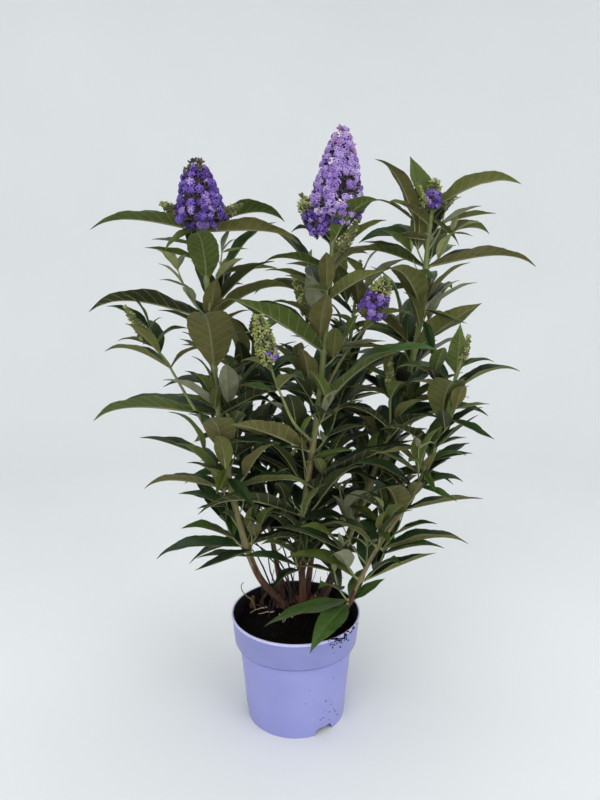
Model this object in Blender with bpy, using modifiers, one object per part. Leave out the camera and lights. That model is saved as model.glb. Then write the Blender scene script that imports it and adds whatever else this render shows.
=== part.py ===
"""A butterfly bush in a round nursery pot: pot, compost, six canes, side boughs and masses of foliage.

Metres, +Z up. The origin is the middle of the pot's flat underside, and -Y is the front.
"""

import math
import random

import bmesh
import bpy
from mathutils import Vector
from mathutils.bvhtree import BVHTree

# Pot: a moulded round pot with a deep collar, standing on a centre disc and a notched skirt
POT_HEIGHT = 0.140
POT_RIM_RADIUS = 0.085
POT_FOOT_RADIUS = 0.065
POT_WALL = 0.0015
LIP_HEIGHT = 0.0028
LIP_PROUD = 0.0008
COLLAR_HEIGHT = 0.036
COLLAR_FOOT_RADIUS = 0.0805
COLLAR_STEP_HEIGHT = 0.004
BODY_TOP_RADIUS = 0.0742
DISC_RADIUS = 0.048
CHANNEL_HEIGHT = 0.009
FLOOR_STEP = (0.0008, 0.0012)
CHANNEL_STEP = 0.0026
SKIRT_WALL = 0.0018
LIP_UNDERCUT = 0.0004
INNER_BLEND = 0.0006
NOTCH_WIDTH = 0.028
NOTCH_HEIGHT = 0.0085
NOTCH_DEPTH = 0.006
NOTCH_COUNT = 3
NOTCH_TURN = -56.0
DRAIN_RADIUS = 0.0038
DRAIN_COUNT = 6
DRAIN_OUT = 0.001
DRAIN_DEPTH = 0.006
POT_SIDES = 32

# Compost: fills the pot to just under the rim, lower against the wall
GROUND = 0.124
COMPOST_SHOULDER = 0.070
COMPOST_EDGE_DROP = 0.005
COMPOST_FIT = 0.0002

# Gap between solids that meet, and the distance under which two points of one solid are welded
CLEAR = 0.0003
WELD = 0.0000002

# Canes: the points each passes through from its foot to its head, its radii, the height at which it
# enters its top mass, and its leaf nodes. A node is: height, turn of the first leaf in degrees
# (0 is right, 90 is back), then length and rise of that leaf and of the one opposite. A leaf that the
# rule would arch too much has its rise, arch and roll instead. A young shoot is: height, turn, rise, length.
CANES = {
    "centre": {
        "through": [
            (0.010, 0.028, GROUND), (0.009, 0.012, 0.250),
            (0.030, -0.006, 0.430), (0.047, -0.010, 0.640),
        ],
        "radii": (0.0047, 0.0028),
        "fork": 0.455,
        "seed": 3,
        "nodes": [
            (0.190, 60, 0.079, 25, 0.070, 13),
            (0.229, 340, 0.093, 38, 0.088, 20),
            (0.268, 192, 0.143, 31, 0.108, 25),
            (0.312, 343, 0.145, (32, 12, 0), 0.117, 31),
            (0.356, 207, 0.137, (48, 14, 60), 0.100, 33),
            (0.415, 343, 0.169, 53, 0.108, 27),
            (0.482, 205, 0.134, (35, 14, 70), 0.099, 39),
            (0.545, 326, 0.081, (30, 20, -50), 0.120, 18),
            (0.580, 190, 0.084, 21, 0.070, 43),
            (0.610, 314, 0.092, (59, 70, -50), 0.079, 33),
        ],
        "head": ("bloom", 0.108, 0.037),
        "sprays": [
            (0.612, 196, 48, 0.020, "cluster", 0.044, 0.016),
            (0.618, 178, 52, 0.028, "spike", 0.040, 0.0080),
            (0.586, 345, 58, 0.020, "spike", 0.046, 0.0090),
            (0.485, 188, 67, 0.048, "spike", 0.056, 0.0090),
        ],
    },
    "left": {
        "through": [
            (-0.012, 0.030, GROUND), (-0.058, 0.012, 0.200),
            (-0.091, -0.010, 0.370), (-0.110, -0.014, 0.632),
        ],
        "radii": (0.0046, 0.0026),
        "fork": 0.376,
        "seed": 7,
        "nodes": [
            (0.227, 183, 0.115, 3, 0.089, 27),
            (0.309, 184, 0.107, 14, 0.107, 20),
            (0.356, 266, 0.126, 66, 0.103, 22),
            (0.405, 166, 0.178, 4, 0.121, 28),
            (0.462, 272, 0.138, 68, 0.108, 25),
            (0.522, 180, 0.152, 16, 0.116, 39),
            (0.568, 276, 0.096, 68, 0.092, 43),
            (0.625, 181, 0.134, 13, 0.119, 4),
            (0.631, 28, 0.117, 20, 0.061, -20),
        ],
        "head": ("violet", 0.078, 0.034),
        "sprays": [
            (0.630, 175, 30, 0.028, "spike", 0.032, 0.0090),
            (0.630, 5, 29, 0.026, "spike", 0.032, 0.0085),
        ],
        "young": [(0.520, 186, 50, 0.072), (0.550, 8, 62, 0.056)],
    },
    "right": {
        "through": [
            (0.034, 0.044, GROUND), (0.072, 0.040, 0.225),
            (0.147, 0.030, 0.450), (0.168, 0.022, 0.660),
        ],
        "radii": (0.0056, 0.0026),
        "fork": 0.360,
        "seed": 19,
        "nodes": [
            (0.250, 60, 0.107, 20, 0.107, 11),
            (0.306, 320, 0.121, 25, 0.114, 25),
            (0.371, 345, 0.134, 32, 0.114, 25),
            (0.425, 232, 0.130, 39, 0.114, 27),
            (0.482, 325, 0.105, (38, 16, -45), 0.098, 28),
            (0.534, 238, 0.111, 51, 0.105, 33),
            (0.586, 0, 0.141, 14, 0.103, 20),
            (0.619, 200, 0.094, (4, 40, -35), 0.095, 21),
            (0.636, 216, 0.078, (26, 44, -40), 0.066, (60, 26, 0)),
            (0.645, 158, 0.080, (72, 6, -70), 0.050, (-40, 30, 0)),
            (0.657, 350, 0.110, (28, 58, -25), 0.056, (40, 40, -30)),
        ],
        "head": ("cluster", 0.034, 0.013),
        "sprays": [
            (0.640, 188, 66, 0.018, "spike", 0.036, 0.0090),
            (0.650, 20, 36, 0.016, "spike", 0.030, 0.0085),
        ],
        "young": [(0.580, 355, 48, 0.058), (0.508, 352, 48, 0.046)],
    },
    "low_right": {
        "through": [
            (0.056, -0.012, GROUND), (0.096, -0.024, 0.222),
            (0.157, -0.036, 0.340), (0.196, -0.040, 0.480),
        ],
        "radii": (0.0030, 0.0019),
        "fork": 0.262,
        "seed": 23,
        "nodes": [
            (0.158, 238, 0.105, (-2, 30, 0), 0.058, 72),
            (0.162, 205, 0.116, (1, 24, 0), 0.049, (41, 14, 0)),
            (0.192, 3, 0.099, (23, 12, 0), 0.099, 33),
            (0.238, 352, 0.110, 22, 0.085, 36),
            (0.280, 238, 0.104, 72, 0.089, 27),
            (0.315, 358, 0.067, 23, 0.089, 39),
            (0.366, 352, 0.068, (42, 12, 0), 0.084, 33),
            (0.400, 262, 0.108, 72, 0.090, 33),
            (0.437, 0, 0.088, 35, 0.090, 33),
            (0.458, 268, 0.064, (80, 10, 0), 0.072, 33),
            (0.466, 2, 0.048, (26, 46, 0), 0.040, 40),
        ],
        "head": ("spike", 0.030, 0.0065),
        "sprays": [],
    },
    "back_left": {
        "through": [
            (-0.018, 0.052, GROUND), (-0.042, 0.084, 0.250),
            (-0.066, 0.122, 0.380), (-0.062, 0.142, 0.500),
        ],
        "radii": (0.0038, 0.0021),
        "fork": 0.270,
        "seed": 31,
        "nodes": [
            (0.215, 196, 0.118, -8, 0.066, 30),
            (0.285, 210, 0.123, 20, 0.107, 20),
            (0.345, 120, 0.133, 25, 0.108, 27),
            (0.400, 200, 0.133, 27, 0.113, 25),
            (0.485, 205, 0.104, 43, 0.090, 43),
        ],
        "head": ("spike", 0.034, 0.008),
        "sprays": [],
    },
    "back_right": {
        "through": [
            (0.014, 0.060, GROUND), (0.036, 0.104, 0.260),
            (0.068, 0.140, 0.400), (0.088, 0.158, 0.550),
        ],
        "radii": (0.0042, 0.0022),
        "fork": 0.350,
        "seed": 41,
        "nodes": [
            (0.225, 100, 0.101, 13, 0.088, 21),
            (0.300, 20, 0.127, 20, 0.108, 25),
            (0.370, 95, 0.135, 21, 0.114, 33),
            (0.425, 10, 0.133, 27, 0.118, 27),
            (0.525, 0, 0.108, 39, 0.095, 43),
        ],
        "head": ("spike", 0.060, 0.008),
        "sprays": [],
    },
}

CANE_SIDES = 8
CANE_POINTS = 49
CANE_RINGS = 9
ROOT_FLARE = 0.75
FLARE_HEIGHT = 0.007
FLARE_RING = 0.006

# Boughs: side limbs. Each leaves its cane at a height and ends at a point; the mass beyond it has its
# own stem to a further point, nodes given as shares of that stem, and a head.
BOUGH_SIDES = 6
BOUGH_RINGS = 7
BOUGH_COLLAR = 0.003
BOUGHS = {
    "left_low": {
        "cane": "left",
        "leaves_at": 0.366,
        "bow": (-0.126, -0.020, 0.418),
        "end": (-0.149, -0.024, 0.462),
        "tip": (-0.176, -0.030, 0.500),
        "radii": (0.0021, 0.0015),
        "seed": 53,
        "nodes": [(0.10, 178, 0.084, 30, 0.055, 62), (0.80, 182, 0.046, 26, 0.050, 66)],
        "head": ("spike", 0.050, 0.0075),
    },
    "centre_front": {
        "cane": "centre",
        "leaves_at": 0.372,
        "bow": (-0.002, -0.036, 0.400),
        "end": (-0.018, -0.052, 0.440),
        "tip": (-0.030, -0.062, 0.478),
        "radii": (0.0021, 0.0015),
        "seed": 59,
        "nodes": [(0.16, 120, 0.060, 40, 0.070, 30), (0.76, 30, 0.045, 40, 0.045, 36)],
        "head": ("opening", 0.056, 0.013),
    },
    "centre_right": {
        "cane": "centre",
        "leaves_at": 0.432,
        "bow": (0.056, -0.002, 0.470),
        "end": (0.078, -0.006, 0.503),
        "tip": (0.092, -0.012, 0.528),
        "radii": (0.0021, 0.0015),
        "seed": 61,
        "nodes": [(0.14, 330, 0.075, 40, 0.050, 40), (0.78, 60, 0.045, 50, 0.050, 30)],
        "head": ("cluster", 0.050, 0.020),
    },
    "right_front": {
        "cane": "right",
        "leaves_at": 0.290,
        "bow": (0.104, 0.012, 0.330),
        "end": (0.112, -0.006, 0.365),
        "tip": (0.116, -0.018, 0.440),
        "radii": (0.0024, 0.0016),
        "seed": 67,
        "nodes": [
            (0.12, 292, 0.100, 40, 0.080, 44),
            (0.52, 10, 0.080, 44, 0.075, 44),
            (0.88, 285, 0.060, 50, 0.060, 50),
        ],
        "head": ("spike", 0.040, 0.0060),
    },
}

# Masses: the stems they grow from
TOP_STEM_SIDES = 6
TOP_STEM_RINGS = 7
BOUGH_STEM_SIDES = 5
BOUGH_STEM_RINGS = 6
BOUGH_STEM_TAPER = 0.04

# Leaves: lance shaped and folded up along the midrib. The steeper a leaf rises, the wider, flatter and
# more arched it is, and the nearer its root it bends. An arch is: its angle and its bend's power for a
# level leaf, each followed by its change per degree of rise. Leaves in the shade by the pot lie flat.
LONG_WIDTH_SHARE = 0.32
SHORT_WIDTH_SHARE = 0.29
WIDTH_PER_RISE = 0.0014
LEAF_FOLD = 50.0
FOLD_PER_RISE = 0.36
LONG_ARCH = (46.0, 0.48, 3.8, 0.04)
SHORT_ARCH = (6.0, 0.75, 3.6, 0.02)
LEAST_BEND = 1.2
SHADED_BELOW = 0.18
SHADED_FOLD = 0.35
LEAF_THICK_SHARE = 0.012
PETIOLE_HALF_WIDTH = 0.0012
WIDEST_AT = 0.42
LEAF_STEPS = 10
LONG_STATIONS = (0.32, 0.70)
SHORT_STATIONS = (0.44,)
JITTER = {"turn": 3.0, "rise": 2.0, "arch": 5.0, "roll": 28.0, "sweep": 6.0, "fold": 6.0, "width": 0.10}
SHORT_JITTER = 3
LEAF_CLEARANCE = 0.004
RIM_REACH = 0.012

# Shoots: leafy twigs from the leaf axils, with pairs of leaves that turn by a right angle each time
SHOOT_LENGTH = (0.024, 0.066)
SHOOT_RADIUS = 0.0012
SHOOT_TAPER = (1.0, 0.85, 0.6)
SHOOT_RISE = (46, 68)
SHOOT_TURN = 22
SHOOT_CURVE = 18
SHOOT_LEAF = (0.052, 0.098)
SHOOT_LEAF_RISE = (24, 70)
SHOOT_LEAF_ASIDE = (44, 72)
UPRIGHT_ASIDE = 16
UPRIGHT_SPREAD = 20
RISE_TO_TIP = 6
PAIR_SHARES = (0.40, 0.72, 1.0)
LONG_SHOOT = 0.062
YOUNG_LEAF_SHARE = 0.55
BARE_NECK = 0.024
AXIL_OUT = 0.0008
STUB_OUT = 0.0042
STUB_RISE = 0.0012
STUB_RADIUS = 0.0019
SPRAY_TAPER = (1.0, 0.9, 0.8)

# Stubs of old wood left by pruning, around the foot of the centre cane: turn, lean, length
PRUNED_STUBS = [(20, 52, 0.026), (62, 40, 0.030), (-32, 58, 0.021), (140, 50, 0.020), (-75, 62, 0.016)]
STUB_WOOD_RADIUS = 0.0026
STUB_WOOD_TAPER = (1.1, 1.0, 0.8)
STUB_WOOD_FOOT = 0.0055
STUB_WOOD_OUT = 0.001

# How far a test shape stands out of the leaf or twig it stands for, and where along a leaf it begins
TEST_MARGIN = 0.0008
TEST_START = 0.14


# Curves and frames


def spline(points, count):
    """Points along a smooth curve through the given ones."""
    knots = [Vector(p) for p in points]
    ends = [2 * knots[0] - knots[1], *knots, 2 * knots[-1] - knots[-2]]
    spans = len(knots) - 1
    path = []
    for step in range(count):
        place = step / (count - 1) * spans
        span = min(int(place), spans - 1)
        t = place - span
        a, b, c, d = ends[span : span + 4]
        square, cube = 2 * a - 5 * b + 4 * c - d, 3 * b - a - 3 * c + d
        path.append(0.5 * (2 * b + (c - a) * t + square * t**2 + cube * t**3))
    return path


def at_height(path, height):
    """The point of a rising path at a height, and its direction there."""
    for low, high in zip(path, path[1:]):
        if low.z <= height <= high.z:
            share = (height - low.z) / max(high.z - low.z, 1e-9)
            return low.lerp(high, share), (high - low).normalized()
    end = path[-1] if height > path[-1].z else path[0]
    return end.copy(), (path[-1] - path[-2]).normalized()


def along(path, share):
    """The point at this share of a path whose points are evenly spaced."""
    place = share * (len(path) - 1)
    index = min(int(place), len(path) - 2)
    return path[index].lerp(path[index + 1], place - index)


def between(path, low, high, count):
    """Evenly spaced points of a rising path from one height to another."""
    return [at_height(path, low + (high - low) * i / (count - 1))[0] for i in range(count)]


def heading(turn, rise):
    """The direction with this turn about +Z and this rise above level, in degrees."""
    a, e = math.radians(turn), math.radians(rise)
    return Vector((math.cos(e) * math.cos(a), math.cos(e) * math.sin(a), math.sin(e)))


def across(direction):
    """Two directions at right angles to this one."""
    other = Vector((0, 1, 0)) if abs(direction.y) < 0.9 else Vector((1, 0, 0))
    first = direction.cross(other).normalized()
    return first, direction.cross(first).normalized()


# Leaves


def leaf_station(leaf, t):
    """Middle, side, normal and half width of a leaf at share t of its length."""
    rise, arch = math.radians(leaf["rise"]), math.radians(leaf["arch"])
    turn = math.radians(leaf["turn"])
    level = Vector((math.cos(turn), math.sin(turn), 0))
    side = Vector((-math.sin(turn), math.cos(turn), 0))
    steps = max(1, math.ceil(t * LEAF_STEPS))
    out = up = 0.0
    for i in range(steps):
        slope = rise - arch * (t * (i + 0.5) / steps) ** leaf["bend"]
        out += leaf["length"] * t / steps * math.cos(slope)
        up += leaf["length"] * t / steps * math.sin(slope)
    drift = leaf["length"] * math.radians(leaf["sweep"]) * t * t / 2
    middle = leaf["base"] + level * out + Vector((0, 0, up)) + side * drift
    slope = rise - arch * t ** leaf["bend"]
    ahead = level * math.cos(slope) + Vector((0, 0, math.sin(slope)))
    normal = ahead.cross(side)
    roll = math.radians(leaf["roll"]) * t
    rolled_side = side * math.cos(roll) + normal * math.sin(roll)
    rolled_normal = normal * math.cos(roll) - side * math.sin(roll)
    return middle, rolled_side, rolled_normal, leaf["width"] / 2 * outline(t)


def outline(t):
    """Half width of a leaf at share t, as a share of its widest."""
    if t <= 0 or t >= 1:
        return 0.0
    power = math.log(0.5) / math.log(WIDEST_AT)
    return math.sin(math.pi * t**power) ** 1.15 * (1 - 0.12 * t)


def leaf_solid(leaf, margin=0.0, start=0.0):
    """A closed faceted leaf as (points, faces): rings of left, top, right and bottom, from root to tip.

    With a start above 0 the root is left out and a ring closes the shape there.
    """
    thick = leaf["length"] * LEAF_THICK_SHARE / 2 + margin
    fold = math.radians(leaf["fold"])
    stations = LONG_STATIONS if leaf["large"] else SHORT_STATIONS
    points = [] if start else [leaf["base"].copy()]
    for t in (start, *stations) if start else stations:
        middle, side, normal, half = leaf_station(leaf, t)
        half = max(half, PETIOLE_HALF_WIDTH) + margin
        out, lift = side * half * math.cos(fold), normal * half * math.sin(fold)
        points += [middle + out + lift, middle + normal * thick]
        points += [middle - out + lift, middle - normal * thick]
    points.append(leaf_station(leaf, 1.0)[0])
    tip = len(points) - 1
    rings = [range(i, i + 4) for i in range(tip % 4, tip, 4)]
    faces = [tuple(rings[0])] if start else [(0, rings[0][i], rings[0][(i + 1) % 4]) for i in range(4)]
    # each side's upper and under faces are split from the same edge point, so that they never cross
    for low, high in zip(rings, rings[1:]):
        for edge in (0, 2):
            for rib in (1, 3):
                pair = [(high[rib], low[rib], low[edge]), (high[edge], high[rib], low[edge])]
                faces += pair if (rib - edge) % 4 == 1 else [tuple(reversed(face)) for face in pair]
    faces += [(tip, rings[-1][(i + 1) % 4], rings[-1][i]) for i in range(4)]
    return points, faces


# Tubes and flower heads


def tube_solid(path, radii, sides, level_foot=False, margin=0.0):
    """A closed tapering tube along a path as (points, faces)."""
    points = []
    side = None
    for i, place in enumerate(path):
        ahead = (path[min(i + 1, len(path) - 1)] - path[max(i - 1, 0)]).normalized()
        if level_foot and i == 0:
            ahead = Vector((0, 0, 1))
        side = across(ahead)[0] if side is None else (side - ahead * side.dot(ahead)).normalized()
        other = ahead.cross(side)
        for k in range(sides):
            angle = 2 * math.pi * k / sides
            points.append(place + (side * math.cos(angle) + other * math.sin(angle)) * (radii[i] + margin))
    faces = [tuple(reversed(range(sides)))]
    for i in range(len(path) - 1):
        for k in range(sides):
            a, b = i * sides + k, i * sides + (k + 1) % sides
            faces.append((a, b, b + sides, a + sides))
    top = (len(path) - 1) * sides
    faces.append(tuple(range(top, top + sides)))
    return points, faces


# A head's first and last ring, as shares of its length, and how far it is sunk over its stalk
HEAD_FOOT = 0.04
HEAD_TOP = 0.98
HEAD_SUNK = 0.0025
HEAD_SWELL = 0.14
HEADS = {
    "bloom": {"sides": 8, "tiers": 5, "waist": 0.86, "blunt": 0.50},
    "violet": {"sides": 8, "tiers": 4, "waist": 0.86, "blunt": 0.42},
    "opening": {"sides": 6, "tiers": 3, "waist": 0.72, "blunt": 0.30},
    "cluster": {"sides": 6, "tiers": 2, "waist": 0.78, "blunt": 0.40},
    "spike": {"sides": 5, "tiers": 3, "waist": 0.66, "blunt": 0.60},
}


def head_radius(head, t):
    """Radius of a flower head at share t of its length."""
    swell = math.sqrt(min(1.0, t / HEAD_SWELL))
    return head["radius"] * swell * max(1 - t, 0.0) ** HEADS[head["kind"]]["blunt"]


def head_solid(head, margin=0.0):
    """A tiered closed cone for a flower head, as (points, faces)."""
    shape = HEADS[head["kind"]]
    rings = 2 * shape["tiers"]
    path, radii = [], []
    for i in range(rings + 1):
        t = HEAD_FOOT + (HEAD_TOP - HEAD_FOOT) * i / rings
        path.append(head["base"] + head["ahead"] * head["length"] * t)
        radii.append(head_radius(head, t) * (1.0 if i % 2 else shape["waist"]))
    return tube_solid(path, radii, shape["sides"], margin=margin)


# Clearance: what is already there, so that a new leaf or twig can keep off it


class Space:
    """The test shapes of all that has grown so far, each with its group, kind, box and search tree."""

    def __init__(self):
        self.held = []

    def add(self, solid, group, kind):
        """Keeps a shape for later tests."""
        points, faces = solid
        low = Vector([min(p[i] for p in points) for i in range(3)])
        high = Vector([max(p[i] for p in points) for i in range(3)])
        self.held.append((group, kind, low, high, BVHTree.FromPolygons(points, faces)))

    def free(self, solid, group, own=()):
        """Whether a shape touches nothing of the other groups, and none of its own group's kinds in own."""
        points, faces = solid
        low = Vector([min(p[i] for p in points) for i in range(3)])
        high = Vector([max(p[i] for p in points) for i in range(3)])
        tree = BVHTree.FromPolygons(points, faces)
        for other, kind, start, end, held in self.held:
            if kind not in own if other == group else kind == "blade":
                continue
            if any(high[i] < start[i] or low[i] > end[i] for i in range(3)):
                continue
            if tree.overlap(held):
                return False
        return True


# Growth: the rule that makes every mass


def new_mass(name):
    """A mass of foliage with nothing on it yet."""
    return {"name": name, "tubes": [], "leaves": [], "heads": []}


def make_leaf(base, turn, rise, length, rng, large):
    """One leaf with its seeded differences."""
    rise, arch, roll = rise if isinstance(rise, tuple) else (rise, None, 0)
    spread = 1 if large else SHORT_JITTER
    shaded = base.z < SHADED_BELOW
    turn += rng.uniform(-1, 1) * JITTER["turn"] * spread
    rise += rng.uniform(-1, 1) * JITTER["rise"] * spread
    share = (LONG_WIDTH_SHARE if large else SHORT_WIDTH_SHARE) + WIDTH_PER_RISE * max(rise, 0)
    arch_foot, arch_slope, bend, bend_slope = LONG_ARCH if large else SHORT_ARCH
    if arch is None:
        arch = arch_foot + arch_slope * rise
    return {
        "base": base,
        "turn": turn,
        "rise": rise,
        "arch": arch + rng.uniform(-1, 1) * JITTER["arch"],
        "bend": max(LEAST_BEND, bend - bend_slope * rise),
        "roll": roll + rng.uniform(-1, 1) * JITTER["roll"],
        "sweep": rng.uniform(-1, 1) * JITTER["sweep"],
        "fold": (LEAF_FOLD - FOLD_PER_RISE * rise) * (SHADED_FOLD if shaded else 1)
        + rng.uniform(-1, 1) * JITTER["fold"],
        "length": length,
        "width": length * share * (1 + rng.uniform(-1, 1) * JITTER["width"]),
        "large": large,
    }


# Changes of turn, rise and size tried in order until a leaf keeps clear of everything else
TRIES = (
    (0, 0, 1.0),
    (12, -6, 1.0),
    (-12, -6, 1.0),
    (22, 8, 0.94),
    (-22, 8, 0.94),
    (0, 20, 0.88),
    (0, -20, 0.84),
    (38, 0, 0.78),
    (-38, 0, 0.78),
    (16, -30, 0.70),
    (-16, 30, 0.66),
)


def place_leaf(space, mass, leaf):
    """Adds the leaf if it, or a slightly turned copy, keeps clear of all but its own mass's twigs and heads."""
    for turn, rise, size in TRIES:
        tried = dict(leaf)
        tried["turn"] += turn
        tried["rise"] += rise
        tried["length"] *= size
        tried["width"] *= size
        whole, blade = leaf_solid(tried, TEST_MARGIN), leaf_solid(tried, TEST_MARGIN, TEST_START)
        if min(p.z for p in whole[0]) < lowest_for(whole[0]):
            continue
        if space.free(whole, mass["name"]) and space.free(blade, mass["name"], ("blade",)):
            space.add(whole, mass["name"], "leaf")
            space.add(blade, mass["name"], "blade")
            mass["leaves"].append(tried)
            return


def lowest_for(points):
    """The height a leaf keeps above: the pot's rim where it hangs over it."""
    reach = max(math.hypot(p.x, p.y) for p in points)
    return (POT_HEIGHT if reach > POT_RIM_RADIUS - RIM_REACH else GROUND) + LEAF_CLEARANCE


def place_head(space, mass, base, ahead, kind, length, radius):
    """Adds a flower head, which may stand against others of its own mass."""
    ahead = ahead.normalized()
    foot = base - ahead * (HEAD_FOOT * length + HEAD_SUNK)
    head = {"base": foot, "ahead": ahead, "kind": kind, "length": length, "radius": radius}
    shape = head_solid(head, TEST_MARGIN)
    if space.free(shape, mass["name"]):
        space.add(shape, mass["name"], "head")
        mass["heads"].append(head)
        return True
    return False


def grow_shoot(space, mass, start, turn, length, rng):
    """A leafy twig from a leaf axil."""
    rise = rng.uniform(*SHOOT_RISE)
    turn += rng.uniform(-SHOOT_TURN, SHOOT_TURN)
    leafy_twig(space, mass, start, turn, rise, length, rng)


def young_shoot(space, mass, shoot, point, rng):
    """A young shoot of a cane, with small leaves."""
    leafy_twig(space, mass, point, *shoot[1:], rng, YOUNG_LEAF_SHARE)


def leafy_twig(space, mass, start, turn, rise, length, rng, leaf_share=1):
    """A twig with pairs of opposite leaves, the last pair at its tip."""
    middle = start + heading(turn, rise) * length / 2
    path = [start, middle, middle + heading(turn, rise + SHOOT_CURVE) * length / 2]
    radii = [SHOOT_RADIUS * share for share in SHOOT_TAPER]
    leaf_rng = random.Random(rng.random())
    shape = tube_solid([path[0].lerp(path[1], 0.4), path[1], path[2]], radii, 3, margin=TEST_MARGIN)
    if not space.free(shape, mass["name"], ("blade", "head")):
        return
    space.add(shape, mass["name"], "tube")
    mass["tubes"].append((path, radii, 3))
    shares = PAIR_SHARES if length > LONG_SHOOT else PAIR_SHARES[::2]
    for pair, share in enumerate(shares):
        base = along(path, share * 0.98)
        for half in (1, -1):
            size = leaf_rng.uniform(*SHOOT_LEAF) * leaf_share
            up = leaf_rng.uniform(*SHOOT_LEAF_RISE) + RISE_TO_TIP * share
            aside = leaf_rng.uniform(*SHOOT_LEAF_ASIDE)
            if pair % 2:
                aside, up = UPRIGHT_ASIDE, up + UPRIGHT_SPREAD * half
            place_leaf(space, mass, make_leaf(base, turn + half * aside, up, size, leaf_rng, False))


def grow_spray(space, mass, start, spray):
    """A stalk beside the main flower head that carries a small head of its own."""
    _, turn, rise, stalk, kind, length, radius = spray
    ahead = heading(turn, rise)
    path = [start, start + ahead * stalk * 0.6, start + ahead * stalk]
    radii = [SHOOT_RADIUS * share for share in SPRAY_TAPER]
    shape = tube_solid([path[0].lerp(path[1], 0.5), path[1], path[2]], radii, 3, margin=TEST_MARGIN)
    if not space.free(shape, mass["name"]):
        return
    if place_head(space, mass, path[2], ahead, kind, length, radius):
        space.add(shape, mass["name"], "tube")
        mass["tubes"].append((path, radii, 3))


def node_leaves(space, mass, node, point, rng):
    """The pair of large opposite leaves at a node of a stem that runs inside the mass."""
    _, turn, first, first_rise, second, second_rise = node
    for half, length, rise in ((0, first, first_rise), (180, second, second_rise)):
        place_leaf(space, mass, make_leaf(point, turn + half, rise, length, rng, True))


def node_shoots(space, mass, node, point, rng):
    """A shoot in each leaf axil of a node."""
    for half in (0, 180):
        turn = node[1] + half
        grow_shoot(space, mass, point + heading(turn, 30) * 0.001, turn, rng.uniform(*SHOOT_LENGTH), rng)


def start_top(space, name, cane):
    """The mass at a cane's top: its stem, its flower head and the sprays beside it."""
    top = new_mass(f"foliage_{name}_top")
    stem = between(cane["path"], cane["fork"] + CLEAR, cane["path"][-1].z, TOP_STEM_RINGS)
    sizes = [cane_radius(cane, p.z) for p in stem]
    add_stem(space, top, stem, sizes, TOP_STEM_SIDES)
    ahead = stem[-1] - stem[-2]
    place_head(space, top, stem[-1], ahead, *cane["head"])
    for spray in cane["sprays"]:
        grow_spray(space, top, at_height(cane["path"], spray[0])[0], spray)
    return top


def start_bough_mass(space, name, bough):
    """The mass beyond a bough's end: its stem and its flower head."""
    mass = new_mass(f"foliage_{name}")
    end, tip = bough["path"][-1], Vector(bough["tip"])
    ahead = (end - bough["path"][-2]).normalized()
    start = end + ahead * CLEAR
    stem = spline([start, start + ahead * (tip - end).length * 0.3, tip], BOUGH_STEM_RINGS)
    sizes = [bough["radii"][1] * (1 - BOUGH_STEM_TAPER * i) for i in range(BOUGH_STEM_RINGS)]
    add_stem(space, mass, stem, sizes, BOUGH_STEM_SIDES)
    place_head(space, mass, tip, stem[-1] - stem[-2] + Vector((0, 0, 0.004)), *bough["head"])
    return mass


def start_side(space, name, cane, node, half):
    """A mass beside a cane: a stub that stands just off the cane, and its large leaf."""
    height, turn, first, first_rise, second, second_rise = node
    mass = new_mass(name)
    point, ahead = at_height(cane["path"], height)
    out = heading(turn + half, 0)
    out = (out - ahead * out.dot(ahead)).normalized()
    root = point + out * (cane_radius(cane, height) + CLEAR)
    stub = [root, root + out * STUB_OUT * 0.55, root + out * STUB_OUT + ahead * STUB_RISE]
    mass["tubes"].append((stub, [STUB_RADIUS, STUB_RADIUS, STUB_RADIUS * 0.75], 4))
    mass["axil"] = stub[1] + out * AXIL_OUT
    size, rise = (second, second_rise) if half else (first, first_rise)
    place_leaf(space, mass, make_leaf(stub[1], turn + half, rise, size, cane["rng"], True))
    return mass


def add_stem(space, mass, path, radii, sides):
    """The stem that a mass grows from."""
    mass["tubes"].append((path, radii, sides))
    space.add(tube_solid(path, radii, sides, margin=TEST_MARGIN), mass["name"], "tube")


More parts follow.
